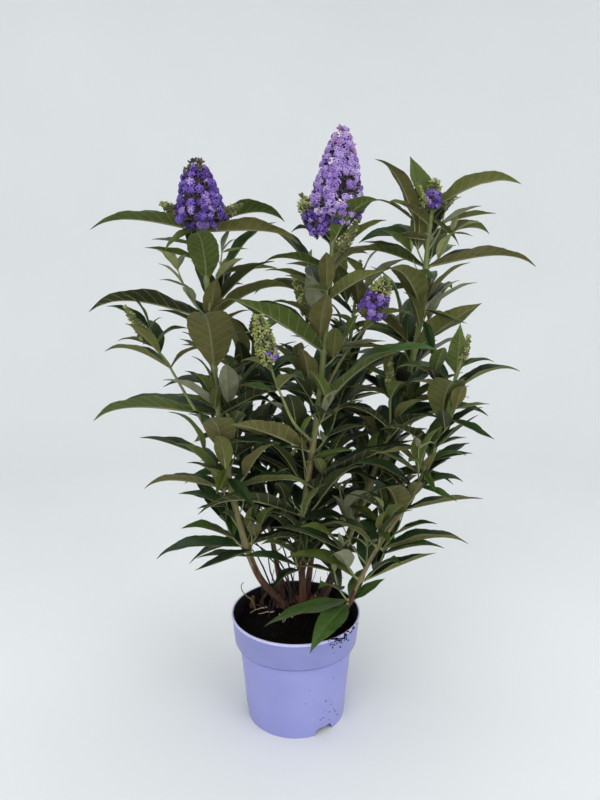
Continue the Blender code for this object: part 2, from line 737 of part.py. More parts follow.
def grow_plant():
    """Every limb and mass of the plant, the long leaves before the shoots that fill in between them."""
    space = Space()
    limbs, masses, shoots = {}, [], []
    for name, cane in CANES.items():
        cane["path"] = spline(cane["through"], CANE_POINTS)
        cane["rng"] = random.Random(cane["seed"])
        path = between(cane["path"], GROUND + CLEAR, cane["fork"], CANE_RINGS)
        path.insert(1, at_height(cane["path"], GROUND + FLARE_RING)[0])
        limbs[f"cane_{name}"] = (path, [cane_radius(cane, p.z) for p in path], CANE_SIDES)
    for name, bough in BOUGHS.items():
        bough["path"] = bough_path(bough, CANES[bough["cane"]])
        bough["rng"] = random.Random(bough["seed"])
        limbs[f"bough_{name}"] = (bough["path"], bough_radii(bough), BOUGH_SIDES)
    for name, (path, radii, sides) in limbs.items():
        space.add(tube_solid(path, radii, sides, margin=TEST_MARGIN), name, "limb")
    tops = {name: start_top(space, name, cane) for name, cane in CANES.items()}
    ends = {name: start_bough_mass(space, name, bough) for name, bough in BOUGHS.items()}
    for name, cane in CANES.items():
        for shoot in cane.get("young", ()):
            shoots.append((young_shoot, tops[name], shoot, at_height(cane["path"], shoot[0])[0], cane["rng"]))
        for number, node in enumerate(cane["nodes"]):
            point, rng = at_height(cane["path"], node[0])[0], cane["rng"]
            if node[0] > cane["fork"]:
                node_leaves(space, tops[name], node, point, rng)
                if node[0] < cane["path"][-1].z - BARE_NECK:
                    shoots.append((node_shoots, tops[name], node, point, rng))
                continue
            for letter, half in (("a", 0), ("b", 180)):
                mass = start_side(space, f"foliage_{name}_{number + 1}{letter}", cane, node, half)
                masses.append(mass)
                shoots.append((side_shoot, mass, node[1] + half, mass["axil"], rng))
    for name, bough in BOUGHS.items():
        stem = ends[name]["tubes"][0][0]
        for node in bough["nodes"]:
            point = along(stem, node[0])
            node_leaves(space, ends[name], node, point, bough["rng"])
            shoots.append((node_shoots, ends[name], node, point, bough["rng"]))
    for grow, mass, what, point, rng in shoots:
        grow(space, mass, what, point, rng)
    return limbs, [*tops.values(), *ends.values(), *masses]


def side_shoot(space, mass, turn, point, rng):
    """The shoot in the one leaf axil of a mass beside a cane."""
    grow_shoot(space, mass, point, turn, rng.uniform(*SHOOT_LENGTH), rng)


def cane_radius(cane, height):
    """Radius of a cane at a height, with the flare at its foot."""
    low, high = cane["radii"]
    foot, head = cane["path"][0].z, cane["path"][-1].z
    share = (height - foot) / (head - foot)
    flare = 1 + ROOT_FLARE * math.exp(-(height - foot) / FLARE_HEIGHT)
    return (low + (high - low) * share) * flare


def bough_path(bough, cane):
    """A bough from just off its cane's skin to its end."""
    point, ahead = at_height(cane["path"], bough["leaves_at"])
    bow = Vector(bough["bow"])
    out = bow - point
    out = (out - ahead * out.dot(ahead)).normalized()
    root = point + out * (cane_radius(cane, bough["leaves_at"]) + CLEAR)
    return [root] + spline([root + out * BOUGH_COLLAR, bow, Vector(bough["end"])], BOUGH_RINGS)


def bough_radii(bough):
    """The radius at each point of a bough's path."""
    count = len(bough["path"])
    low, high = bough["radii"]
    return [low + (high - low) * i / (count - 1) for i in range(count)]


# Blender objects


def material(name, colour, roughness):
    """A plain finish with its colour and roughness."""
    made = bpy.data.materials.new(name)
    made.use_nodes = True
    shader = made.node_tree.nodes["Principled BSDF"]
    shader.inputs["Base Color"].default_value = (*colour, 1)
    shader.inputs["Roughness"].default_value = roughness
    return made


def object_from(name, solid, collection, skin=None):
    """A mesh object from (points, faces), with its normals facing out."""
    points, faces = solid
    mesh = bpy.data.meshes.new(name)
    mesh.from_pydata([tuple(p) for p in points], [], faces)
    work = bmesh.new()
    work.from_mesh(mesh)
    bmesh.ops.recalc_face_normals(work, faces=work.faces[:])
    work.to_mesh(mesh)
    work.free()
    made = bpy.data.objects.new(name, mesh)
    if skin:
        mesh.materials.append(skin)
    collection.objects.link(made)
    return made


def fused(name, solids, collection, skin):
    """One closed object from overlapping solids, joined by a Boolean union on a collection."""
    base = object_from(name, solids[0], collection, skin)
    if len(solids) == 1:
        return base
    others = bpy.data.collections.new(f"{name} pieces")
    bpy.context.scene.collection.children.link(others)
    for number, solid in enumerate(solids[1:]):
        object_from(f"{name} piece {number}", solid, others)
    union = base.modifiers.new("Union", "BOOLEAN")
    union.operation = "UNION"
    union.operand_type = "COLLECTION"
    union.collection = others
    union.solver = "EXACT"
    union.use_self = False
    bpy.context.view_layer.update()
    graph = bpy.context.evaluated_depsgraph_get()
    joined = bpy.data.meshes.new_from_object(base.evaluated_get(graph))
    base.modifiers.remove(union)
    base.data = joined
    keep_outer_skin(joined)
    for piece in list(others.objects):
        bpy.data.objects.remove(piece)
    bpy.data.collections.remove(others)
    return base


def keep_outer_skin(mesh):
    """Welds the points where a union's cuts all but meet, and drops sealed hollows and loose scraps."""
    work = bmesh.new()
    work.from_mesh(mesh)
    bmesh.ops.remove_doubles(work, verts=work.verts[:], dist=WELD)
    seen, islands = set(), []
    for start in work.verts:
        if start in seen:
            continue
        seen.add(start)
        island, front = [], [start]
        while front:
            vert = front.pop()
            island.append(vert)
            for edge in vert.link_edges:
                other = edge.other_vert(vert)
                if other not in seen:
                    seen.add(other)
                    front.append(other)
        islands.append(island)
    islands.sort(key=len, reverse=True)
    for island in islands[1:]:
        bmesh.ops.delete(work, geom=island, context="VERTS")
    work.to_mesh(mesh)
    work.free()


def turned(name, profile, steps, collection, skin):
    """A solid of revolution: the profile runs from the axis out, over and down to the axis again."""
    mesh = bpy.data.meshes.new(name)
    edges = [(i, i + 1) for i in range(len(profile) - 1)]
    mesh.from_pydata([(r, 0, z) for r, z in profile], edges, [])
    made = bpy.data.objects.new(name, mesh)
    collection.objects.link(made)
    mesh.materials.append(skin)
    screw = made.modifiers.new("Turn", "SCREW")
    screw.steps = screw.render_steps = steps
    screw.use_merge_vertices = True
    screw.merge_threshold = 0.0001
    screw.use_smooth_shade = False
    return made


def wall_radius(height):
    """Outer radius of the pot's body and collar at a height."""
    collar_foot = POT_HEIGHT - COLLAR_HEIGHT
    if height >= collar_foot:
        share = (height - collar_foot) / COLLAR_HEIGHT
        return COLLAR_FOOT_RADIUS + (POT_RIM_RADIUS - LIP_PROUD - COLLAR_FOOT_RADIUS) * share
    step_foot = collar_foot - COLLAR_STEP_HEIGHT
    if height >= step_foot:
        share = (height - step_foot) / COLLAR_STEP_HEIGHT
        return BODY_TOP_RADIUS + (COLLAR_FOOT_RADIUS - BODY_TOP_RADIUS) * share
    return POT_FOOT_RADIUS + (BODY_TOP_RADIUS - POT_FOOT_RADIUS) * height / step_foot


def build_pot(parts, cutters, skin):
    """The pot: floor, walls, collar and lip turned in one, then notches and drain holes cut through."""
    collar_foot = POT_HEIGHT - COLLAR_HEIGHT
    step_foot = collar_foot - COLLAR_STEP_HEIGHT
    lip_foot = POT_HEIGHT - LIP_HEIGHT
    floor = CHANNEL_HEIGHT + POT_WALL
    profile = [
        (0, POT_WALL),
        (DISC_RADIUS - FLOOR_STEP[0], POT_WALL),
        (DISC_RADIUS + FLOOR_STEP[1], floor),
        (wall_radius(floor) - POT_WALL, floor),
        (wall_radius(step_foot) - POT_WALL, step_foot + INNER_BLEND),
        (wall_radius(collar_foot) - POT_WALL, collar_foot + INNER_BLEND),
        (POT_RIM_RADIUS - LIP_PROUD - POT_WALL, POT_HEIGHT),
        (POT_RIM_RADIUS, POT_HEIGHT),
        (POT_RIM_RADIUS, lip_foot),
        (wall_radius(lip_foot), lip_foot - LIP_UNDERCUT),
        (wall_radius(collar_foot), collar_foot),
        (wall_radius(step_foot), step_foot),
        (POT_FOOT_RADIUS, 0),
        (POT_FOOT_RADIUS - SKIRT_WALL, 0),
        (wall_radius(CHANNEL_HEIGHT) - SKIRT_WALL, CHANNEL_HEIGHT),
        (DISC_RADIUS + CHANNEL_STEP, CHANNEL_HEIGHT),
        (DISC_RADIUS, 0),
        (0, 0),
    ]
    pot = turned("pot", profile, POT_SIDES, parts, skin)
    # Notches: low square gaps in the skirt that let water out of the channel
    reach = POT_FOOT_RADIUS - DISC_RADIUS
    for number in range(NOTCH_COUNT):
        turn = math.radians(NOTCH_TURN + 360 / NOTCH_COUNT * number)
        bpy.ops.mesh.primitive_cube_add(size=1)
        cutter = bpy.context.active_object
        cutter.name = f"notch cutter {number}"
        cutter.dimensions = (reach, NOTCH_WIDTH, 2 * NOTCH_HEIGHT)
        middle = POT_FOOT_RADIUS + reach / 2 - NOTCH_DEPTH
        cutter.location = (middle * math.cos(turn), middle * math.sin(turn), 0)
        cutter.rotation_euler = (0, 0, turn)
        cut(pot, cutter, cutters)
    # Drain holes through the channel's roof
    for number in range(DRAIN_COUNT):
        turn = math.radians(NOTCH_TURN + 360 / DRAIN_COUNT * (number + 0.5))
        radius = (DISC_RADIUS + POT_FOOT_RADIUS) / 2 + DRAIN_OUT
        bpy.ops.mesh.primitive_cylinder_add(vertices=8, radius=DRAIN_RADIUS, depth=DRAIN_DEPTH)
        cutter = bpy.context.active_object
        cutter.name = f"drain cutter {number}"
        cutter.location = (radius * math.cos(turn), radius * math.sin(turn), CHANNEL_HEIGHT + POT_WALL / 2)
        cut(pot, cutter, cutters)


def cut(target, cutter, cutters):
    """Cuts one solid from another, and puts the cutter with the other cutters."""
    for home in list(cutter.users_collection):
        home.objects.unlink(cutter)
    cutters.objects.link(cutter)
    cutter.hide_render = True
    cutter.display_type = "WIRE"
    modifier = target.modifiers.new(cutter.name, "BOOLEAN")
    modifier.operation = "DIFFERENCE"
    modifier.object = cutter
    modifier.solver = "EXACT"


def build_compost(parts, skin):
    """The compost: fills the pot from its floor to the planting level."""
    collar_foot = POT_HEIGHT - COLLAR_HEIGHT
    step_foot = collar_foot - COLLAR_STEP_HEIGHT
    inside = POT_WALL + CLEAR
    floor = CHANNEL_HEIGHT + inside
    edge = GROUND - COMPOST_EDGE_DROP
    wall_heights = (edge, collar_foot + 2 * CLEAR, step_foot + CLEAR, floor)
    levels = (edge, collar_foot, step_foot, floor)
    profile = [
        (0, GROUND),
        (COMPOST_SHOULDER, GROUND),
        *[(wall_radius(low) - inside - COMPOST_FIT, high) for low, high in zip(levels, wall_heights)],
        (DISC_RADIUS + FLOOR_STEP[0], floor),
        (DISC_RADIUS - 2 * FLOOR_STEP[0], inside),
        (0, inside),
    ]
    turned("compost", profile, POT_SIDES, parts, skin)


def pruned_stubs(cane):
    """Short cut stubs of old wood that lean out of the foot of a cane."""
    foot = cane["path"][0]
    solids = []
    for turn, lean, length in PRUNED_STUBS:
        ahead = heading(turn, 90 - lean)
        start = foot + Vector((0, 0, STUB_WOOD_FOOT)) + heading(turn, 0) * STUB_WOOD_OUT
        path = [start, start + ahead * length * 0.5, start + ahead * length]
        radii = [STUB_WOOD_RADIUS * share for share in STUB_WOOD_TAPER]
        solids.append(tube_solid(path, radii, 5))
    return solids


def mass_solids(mass):
    """The solids of a mass, stem first."""
    solids = [tube_solid(*tube) for tube in mass["tubes"]]
    solids += [head_solid(head) for head in mass["heads"]]
    solids += [leaf_solid(leaf) for leaf in mass["leaves"]]
    return solids


def main():
    """Clears the scene and builds the pot, the compost, the limbs and the masses."""
    for old in list(bpy.data.objects):
        bpy.data.objects.remove(old)
    parts = bpy.data.collections.new("butterfly bush")
    cutters = bpy.data.collections.new("cutters")
    for collection in (parts, cutters):
        bpy.context.scene.collection.children.link(collection)
    skins = {
        "pot": material("lilac pot plastic", (0.30, 0.32, 0.66), 0.45),
        "compost": material("dark compost", (0.010, 0.008, 0.006), 0.95),
        "bark": material("brown bark", (0.09, 0.05, 0.03), 0.80),
        "leaf": material("green leaves", (0.045, 0.075, 0.030), 0.60),
    }
    build_pot(parts, cutters, skins["pot"])
    build_compost(parts, skins["compost"])
    limbs, masses = grow_plant()
    for name, (path, radii, sides) in limbs.items():
        solids = [tube_solid(path, radii, sides, level_foot=name.startswith("cane"))]
        if name == "cane_centre":
            solids += pruned_stubs(CANES["centre"])
        fused(name, solids, parts, skins["bark"])
    for mass in masses:
        fused(mass["name"], mass_solids(mass), parts, skins["leaf"])


main()
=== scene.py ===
import random
from math import ceil, cos, exp, hypot, log, pi, radians, sin

import bpy
import numpy as np
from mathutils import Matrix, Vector, noise
from mathutils.bvhtree import BVHTree


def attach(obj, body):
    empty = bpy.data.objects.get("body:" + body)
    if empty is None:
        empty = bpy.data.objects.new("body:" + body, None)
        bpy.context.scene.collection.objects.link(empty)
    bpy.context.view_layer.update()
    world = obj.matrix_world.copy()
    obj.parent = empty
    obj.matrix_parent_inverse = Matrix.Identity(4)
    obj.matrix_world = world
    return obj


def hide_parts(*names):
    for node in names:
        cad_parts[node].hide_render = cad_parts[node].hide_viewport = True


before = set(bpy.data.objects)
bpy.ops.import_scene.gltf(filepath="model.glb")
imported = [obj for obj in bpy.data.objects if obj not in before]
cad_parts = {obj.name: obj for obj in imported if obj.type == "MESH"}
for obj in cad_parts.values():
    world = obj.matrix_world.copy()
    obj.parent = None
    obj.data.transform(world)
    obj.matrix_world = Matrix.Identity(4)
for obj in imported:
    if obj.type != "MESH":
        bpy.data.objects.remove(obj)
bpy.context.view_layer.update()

print("frame loaded:", len(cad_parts), "solids")


# Materials: one function for colours, one that adds a node, and one for every finish

def linearColour(hexColour):
    # an sRGB hex value as the linear colour that the shader takes
    parts = [int(hexColour[i : i + 2], 16) / 255 for i in (1, 3, 5)]
    return (*[c / 12.92 if c <= 0.04045 else ((c + 0.055) / 1.055) ** 2.4 for c in parts], 1)


def addNode(tree, kind, settings=None, links=None):
    node = tree.nodes.new(kind)
    for name, value in (settings or {}).items():
        node.inputs[name].default_value = value
    for name, source in (links or {}).items():
        tree.links.new(source, node.inputs[name])
    return node


def finish(name, tints, grain, relief, sockets, stretch=(1, 1, 1), detail=3.0):
    # two tints run over a noise whose clouds are grain millimetres wide; relief is its height in millimetres
    skin = bpy.data.materials.new(name)
    skin.use_nodes = True
    tree = skin.node_tree
    shader = tree.nodes["Principled BSDF"]
    for socket, value in sockets.items():
        shader.inputs[socket].default_value = value
    place = addNode(tree, "ShaderNodeTexCoord")
    spread = addNode(tree, "ShaderNodeMapping", {"Scale": stretch}, {"Vector": place.outputs["Object"]})
    scale, cloudy = 1000 / grain, {"Vector": spread.outputs[0]}
    cloud = addNode(tree, "ShaderNodeTexNoise", {"Scale": scale, "Detail": detail}, cloudy)
    ramp = addNode(tree, "ShaderNodeValToRGB", links={"Fac": cloud.outputs["Fac"]})
    for stop, position, tint in zip(ramp.color_ramp.elements, (0.32, 0.68), tints):
        stop.position, stop.color = position, linearColour(tint)
    tree.links.new(ramp.outputs["Color"], shader.inputs["Base Color"])
    fine = addNode(tree, "ShaderNodeTexNoise", {"Scale": scale * 3, "Detail": 2.0}, cloudy)
    bump = addNode(tree, "ShaderNodeBump", {"Strength": 0.8, "Distance": relief / 1000},
                   {"Height": fine.outputs["Fac"]})
    tree.links.new(bump.outputs["Normal"], shader.inputs["Normal"])
    return skin


def slotsOf(*tables):
    # material slot numbers by name, in the order of the tables
    return {name: number for number, name in enumerate(name for table in tables for name in table)}


# Meshes: a part is its points and a list of (faces, slot of each face)

mostTriangles = 190000  # in a piece


def joinParts(name, parts, skins, nodes, sharpAt=52):
    starts = np.cumsum([0] + [len(points) for points, _ in parts[:-1]])
    points = np.concatenate([np.asarray(points, np.float32) for points, _ in parts])
    groups = [(np.asarray(faces) + start, slots)
              for (_, pairs), start in zip(parts, starts) for faces, slots in pairs]
    corners = np.concatenate([faces.ravel() for faces, _ in groups])
    sizes = np.concatenate([np.full(len(faces), len(faces[0])) for faces, _ in groups])
    slots = np.concatenate([np.broadcast_to(slots, len(faces)) for faces, slots in groups])
    mesh = bpy.data.meshes.new(name)
    mesh.vertices.add(len(points))
    mesh.vertices.foreach_set("co", points.ravel())
    mesh.loops.add(len(corners))
    mesh.loops.foreach_set("vertex_index", corners.astype(np.int32))
    mesh.polygons.add(len(sizes))
    mesh.polygons.foreach_set("loop_start", (np.cumsum(sizes) - sizes).astype(np.int32))
    for skin in skins:
        mesh.materials.append(skin)
    mesh.polygons.foreach_set("material_index", slots.astype(np.int32))
    mesh.update(calc_edges=True)
    mesh.validate()
    mesh.shade_smooth()
    mesh.set_sharp_from_angle(angle=radians(sharpAt))
    piece = bpy.data.objects.new(name, mesh)
    bpy.context.scene.collection.objects.link(piece)
    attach(piece, "root")
    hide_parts(*nodes)
    mesh.calc_loop_triangles()
    print(f"{name}: {len(mesh.loop_triangles)} triangles")


def joinPieces(name, parts, skins, nodes):
    # parts of one kind in as many pieces as they need
    most = mostTriangles // sum(len(faces) * (len(faces[0]) - 2) for faces, _ in parts[0][1])
    for start in range(0, len(parts), most):
        joinParts(f"{name}_{start // most + 1}", parts[start : start + most], skins, nodes)


def angles(count):
    return [2 * pi * k / count for k in range(count)]


def circle(radius, height, count):
    return [(radius * cos(angle), radius * sin(angle), height) for angle in angles(count)]


def endFaces(rings, count, first=0):
    # the two caps of a stack of rings
    return np.array([list(reversed(range(first, first + count))),
                     list(range((rings - 1) * count, rings * count))])


def gridFaces(rows, columns, closed=True):
    # quads between rings of points, each ring joined round to its start when closed
    i, j = np.meshgrid(np.arange(rows - 1), np.arange(columns if closed else columns - 1), indexing="ij")
    a, b = (i * columns + j).ravel(), (i * columns + (j + 1) % columns).ravel()
    return np.stack([a, b, b + columns, a + columns], 1)


def across(direction):
    other = Vector((0, 1, 0)) if abs(direction.y) < 0.9 else Vector((1, 0, 0))
    first = direction.cross(other).normalized()
    return first, direction.cross(first).normalized()


def tubePoints(path, sides, radiusAt):
    # rings along a path that don't twist; radiusAt takes the ring's number and the angle
    points, side, last = [], None, len(path) - 1
    for i, place in enumerate(path):
        ahead = (path[min(i + 1, last)] - path[max(i - 1, 0)]).normalized()
        side = across(ahead)[0] if side is None else (side - ahead * side.dot(ahead)).normalized()
        other = ahead.cross(side)
        points += [place + (side * cos(angle) + other * sin(angle)) * radiusAt(i, angle)
                   for angle in angles(sides)]
    return points


def sweepPart(path, sides, radiusAt, slotAt, capSlot=None):
    # a closed tube; radiusAt and slotAt take the share of the path and the angle
    last = len(path) - 1
    points = np.array(tubePoints(path, sides, lambda i, angle: radiusAt(i / last, angle)))
    slots = np.array([slotAt(i / last, angle) for i in range(last) for angle in angles(sides)])
    cap = slots[-1] if capSlot is None else capSlot
    return points, [(gridFaces(last + 1, sides), slots), (endFaces(last + 1, sides), cap)]


def stand(points, origin, ahead, roll, size):
    # unit points turned so that their +Z runs ahead, rolled, scaled and moved to the origin point
    first, second = across(ahead)
    x = first * cos(roll) + second * sin(roll)
    return (points * size) @ np.array([x, ahead.cross(x), ahead]) + np.array(origin)


# The pot's sizes that the growth needs, and the plant's own

potShape = {"height": 0.140, "rimRadius": 0.085, "footRadius": 0.065, "wall": 0.0015, "lipHeight": 0.0028,
            "lipProud": 0.0008, "collarHeight": 0.036, "collarFoot": 0.0805, "stepHeight": 0.004,
            "bodyTop": 0.0742, "disc": 0.048, "channel": 0.009, "notchWidth": 0.028, "notches": 3,
            "notchTurn": -56, "steps": 168}
ground = 0.124  # compost level
clearGap = 0.0003  # between a mass and what carries it

# A node is its height (on a bough, its share of the stem), its turn, and length and rise of its two leaves;
# a rise in brackets has its own arch and roll. A spray is height, turn, rise, stalk, kind, length, radius.
# A young shoot is height, turn, rise and length.
canes = {
    "centre": {
        "through": [(0.010, 0.028, ground), (0.009, 0.012, 0.250), (0.030, -0.006, 0.430),
                    (0.047, -0.010, 0.640)],
        "radii": (0.0047, 0.0028), "fork": 0.455, "seed": 3, "head": ("bloom", 0.108, 0.037), "nodes": [
            (0.190, 60, 0.079, 25, 0.070, 13), (0.229, 340, 0.093, 38, 0.088, 20),
            (0.268, 192, 0.143, 31, 0.108, 25), (0.312, 343, 0.145, (32, 12, 0), 0.117, 31),
            (0.356, 207, 0.137, (48, 14, 60), 0.100, 33), (0.415, 343, 0.169, 53, 0.108, 27),
            (0.482, 205, 0.134, (35, 14, 70), 0.099, 39), (0.545, 326, 0.081, (30, 20, -50), 0.120, 18),
            (0.580, 190, 0.084, 21, 0.070, 43), (0.610, 314, 0.092, (59, 70, -50), 0.079, 33)],
        "sprays": [(0.612, 196, 48, 0.020, "cluster", 0.044, 0.016),
                   (0.618, 178, 52, 0.028, "spike", 0.040, 0.0080),
                   (0.586, 345, 58, 0.020, "spike", 0.046, 0.0090),
                   (0.485, 188, 67, 0.048, "spike", 0.056, 0.0090)]},
    "left": {
        "through": [(-0.012, 0.030, ground), (-0.058, 0.012, 0.200), (-0.091, -0.010, 0.370),
                    (-0.110, -0.014, 0.632)],
        "radii": (0.0046, 0.0026), "fork": 0.376, "seed": 7, "head": ("violet", 0.078, 0.034), "nodes": [
            (0.227, 183, 0.115, 3, 0.089, 27), (0.309, 184, 0.107, 14, 0.107, 20),
            (0.356, 266, 0.126, 66, 0.103, 22), (0.405, 166, 0.178, 4, 0.121, 28),
            (0.462, 272, 0.138, 68, 0.108, 25), (0.522, 180, 0.152, 16, 0.116, 39),
            (0.568, 276, 0.096, 68, 0.092, 43), (0.625, 181, 0.134, 13, 0.119, 4),
            (0.631, 28, 0.117, 20, 0.061, -20)],
        "sprays": [(0.630, 175, 30, 0.028, "spike", 0.032, 0.0090),
                   (0.630, 5, 29, 0.026, "spike", 0.032, 0.0085)],
        "young": [(0.520, 186, 50, 0.072), (0.550, 8, 62, 0.056)]},
    "right": {
        "through": [(0.034, 0.044, ground), (0.072, 0.040, 0.225), (0.147, 0.030, 0.450),
                    (0.168, 0.022, 0.660)],
        "radii": (0.0056, 0.0026), "fork": 0.360, "seed": 19, "head": ("cluster", 0.034, 0.013), "nodes": [
            (0.250, 60, 0.107, 20, 0.107, 11), (0.306, 320, 0.121, 25, 0.114, 25),
            (0.371, 345, 0.134, 32, 0.114, 25), (0.425, 232, 0.130, 39, 0.114, 27),
            (0.482, 325, 0.105, (38, 16, -45), 0.098, 28), (0.534, 238, 0.111, 51, 0.105, 33),
            (0.586, 0, 0.141, 14, 0.103, 20), (0.619, 200, 0.094, (4, 40, -35), 0.095, 21),
            (0.636, 216, 0.078, (26, 44, -40), 0.066, (60, 26, 0)),
            (0.645, 158, 0.080, (72, 6, -70), 0.050, (-40, 30, 0)),
            (0.657, 350, 0.110, (28, 58, -25), 0.056, (40, 40, -30))],
        "sprays": [(0.640, 188, 66, 0.018, "spike", 0.036, 0.0090),
                   (0.650, 20, 36, 0.016, "spike", 0.030, 0.0085)],
        "young": [(0.580, 355, 48, 0.058), (0.508, 352, 48, 0.046)]},
    "low_right": {
        "through": [(0.056, -0.012, ground), (0.096, -0.024, 0.222), (0.157, -0.036, 0.340),
                    (0.196, -0.040, 0.480)],
        "radii": (0.0030, 0.0019), "fork": 0.262, "seed": 23, "head": ("spike", 0.030, 0.0065), "nodes": [
            (0.158, 238, 0.105, (-2, 30, 0), 0.058, 72),
            (0.162, 205, 0.116, (1, 24, 0), 0.049, (41, 14, 0)),
            (0.192, 3, 0.099, (23, 12, 0), 0.099, 33), (0.238, 352, 0.110, 22, 0.085, 36),
            (0.280, 238, 0.104, 72, 0.089, 27), (0.315, 358, 0.067, 23, 0.089, 39),
            (0.366, 352, 0.068, (42, 12, 0), 0.084, 33), (0.400, 262, 0.108, 72, 0.090, 33),
            (0.437, 0, 0.088, 35, 0.090, 33), (0.458, 268, 0.064, (80, 10, 0), 0.072, 33),
            (0.466, 2, 0.048, (26, 46, 0), 0.040, 40)]},
    "back_left": {
        "through": [(-0.018, 0.052, ground), (-0.042, 0.084, 0.250), (-0.066, 0.122, 0.380),
                    (-0.062, 0.142, 0.500)],
        "radii": (0.0038, 0.0021), "fork": 0.270, "seed": 31, "head": ("spike", 0.034, 0.008), "nodes": [
            (0.215, 196, 0.118, -8, 0.066, 30), (0.285, 210, 0.123, 20, 0.107, 20),
            (0.345, 120, 0.133, 25, 0.108, 27), (0.400, 200, 0.133, 27, 0.113, 25),
            (0.485, 205, 0.104, 43, 0.090, 43)]},
    "back_right": {
        "through": [(0.014, 0.060, ground), (0.036, 0.104, 0.260), (0.068, 0.140, 0.400),
                    (0.088, 0.158, 0.550)],
        "radii": (0.0042, 0.0022), "fork": 0.350, "seed": 41, "head": ("spike", 0.060, 0.008), "nodes": [
            (0.225, 100, 0.101, 13, 0.088, 21), (0.300, 20, 0.127, 20, 0.108, 25),
            (0.370, 95, 0.135, 21, 0.114, 33), (0.425, 10, 0.133, 27, 0.118, 27),
            (0.525, 0, 0.108, 39, 0.095, 43)]},
}
boughs = {
    "left_low": {
        "cane": "left", "leavesAt": 0.366, "bow": (-0.126, -0.020, 0.418), "end": (-0.149, -0.024, 0.462),
        "tip": (-0.176, -0.030, 0.500), "radii": (0.0021, 0.0015), "seed": 53,
        "head": ("spike", 0.050, 0.0075),
        "nodes": [(0.10, 178, 0.084, 30, 0.055, 62), (0.80, 182, 0.046, 26, 0.050, 66)]},
    "centre_front": {
        "cane": "centre", "leavesAt": 0.372, "bow": (-0.002, -0.036, 0.400), "end": (-0.018, -0.052, 0.440),
        "tip": (-0.030, -0.062, 0.478), "radii": (0.0021, 0.0015), "seed": 59,
        "head": ("opening", 0.056, 0.013),
        "nodes": [(0.16, 120, 0.060, 40, 0.070, 30), (0.76, 30, 0.045, 40, 0.045, 36)]},
    "centre_right": {
        "cane": "centre", "leavesAt": 0.432, "bow": (0.056, -0.002, 0.470), "end": (0.078, -0.006, 0.503),
        "tip": (0.092, -0.012, 0.528), "radii": (0.0021, 0.0015), "seed": 61,
        "head": ("cluster", 0.050, 0.020),
        "nodes": [(0.14, 330, 0.075, 40, 0.050, 40), (0.78, 60, 0.045, 50, 0.050, 30)]},
    "right_front": {
        "cane": "right", "leavesAt": 0.290, "bow": (0.104, 0.012, 0.330), "end": (0.112, -0.006, 0.365),
        "tip": (0.116, -0.018, 0.440), "radii": (0.0024, 0.0016), "seed": 67,
        "head": ("spike", 0.040, 0.0060),
        "nodes": [(0.12, 292, 0.100, 40, 0.080, 44), (0.52, 10, 0.080, 44, 0.075, 44),
                  (0.88, 285, 0.060, 50, 0.060, 50)]},
}
# stubs of pruned wood round the foot of the centre cane: turn, lean, length
prunedStubs = [(20, 52, 0.026), (62, 40, 0.030), (-32, 58, 0.021), (140, 50, 0.020), (-75, 62, 0.016)]

# Leaves are lance shaped, folded up along the midrib and arching down most of all towards the tip
leafShape = {"longWidth": 0.32, "shortWidth": 0.29, "widthPerRise": 0.0014, "fold": 50.0,
             "foldPerRise": 0.36,
             "longArch": (46.0, 0.48, 3.8, 0.04), "shortArch": (6.0, 0.75, 3.6, 0.02), "leastBend": 1.2,
             "shadedBelow": 0.18, "shadedFold": 0.35, "thickShare": 0.012, "stalkHalf": 0.0012,
             "widestAt": 0.42, "steps": 10, "longStations": (0.32, 0.70), "shortStations": (0.44,),
             "clearance": 0.004, "rimReach": 0.012}
jitter = {"turn": 3.0, "rise": 2.0, "arch": 5.0, "roll": 28.0, "sweep": 6.0, "fold": 6.0, "width": 0.10,
          "short": 3}
shootShape = {"length": (0.024, 0.066), "radius": 0.0012, "taper": (1.0, 0.85, 0.6), "rise": (46, 68),
              "turn": 22, "curve": 18, "leaf": (0.052, 0.098), "leafRise": (24, 70), "aside": (44, 72),
              "uprightAside": 16, "uprightSpread": 20, "riseToTip": 6, "pairs": (0.40, 0.72, 1.0),
              "long": 0.062, "youngLeaf": 0.55, "bareNeck": 0.024, "stubOut": 0.0042,
              "stubRadius": 0.0019, "sprayTaper": (1.0, 0.9, 0.8)}
# A head's sides, tiers, waist between tiers and how blunt its tip is; the solids' heads keep the others off
headShapes = {"bloom": (8, 5, 0.86, 0.50), "violet": (8, 4, 0.86, 0.42), "opening": (6, 3, 0.72, 0.30),
              "cluster": (6, 2, 0.78, 0.40), "spike": (5, 3, 0.66, 0.60)}
headFoot, headTop = 0.04, 0.98  # first and last ring of a head, as shares of its length
headSunk = 0.0025  # how far it is sunk over its stalk
testMargin = 0.0008  # how far a test shape stands out of its leaf or twig
testStart = 0.14  # where along a leaf its test shape begins against the leaves of its own mass
# Changes of turn, rise and size tried in order until a leaf keeps clear of everything else
leafTries = ((0, 0, 1.0), (12, -6, 1.0), (-12, -6, 1.0), (22, 8, 0.94), (-22, 8, 0.94), (0, 20, 0.88),
             (0, -20, 0.84), (38, 0, 0.78), (-38, 0, 0.78), (16, -30, 0.70), (-16, 30, 0.66))


def spline(points, count):
    knots = [Vector(p) for p in points]
    ends = [2 * knots[0] - knots[1], *knots, 2 * knots[-1] - knots[-2]]
    spans = len(knots) - 1
    path = []
    for step in range(count):
        place = step / (count - 1) * spans
        span = min(int(place), spans - 1)
        t = place - span
        a, b, c, d = ends[span : span + 4]
        square, cube = 2 * a - 5 * b + 4 * c - d, 3 * b - a - 3 * c + d
        path.append(0.5 * (2 * b + (c - a) * t + square * t**2 + cube * t**3))
    return path


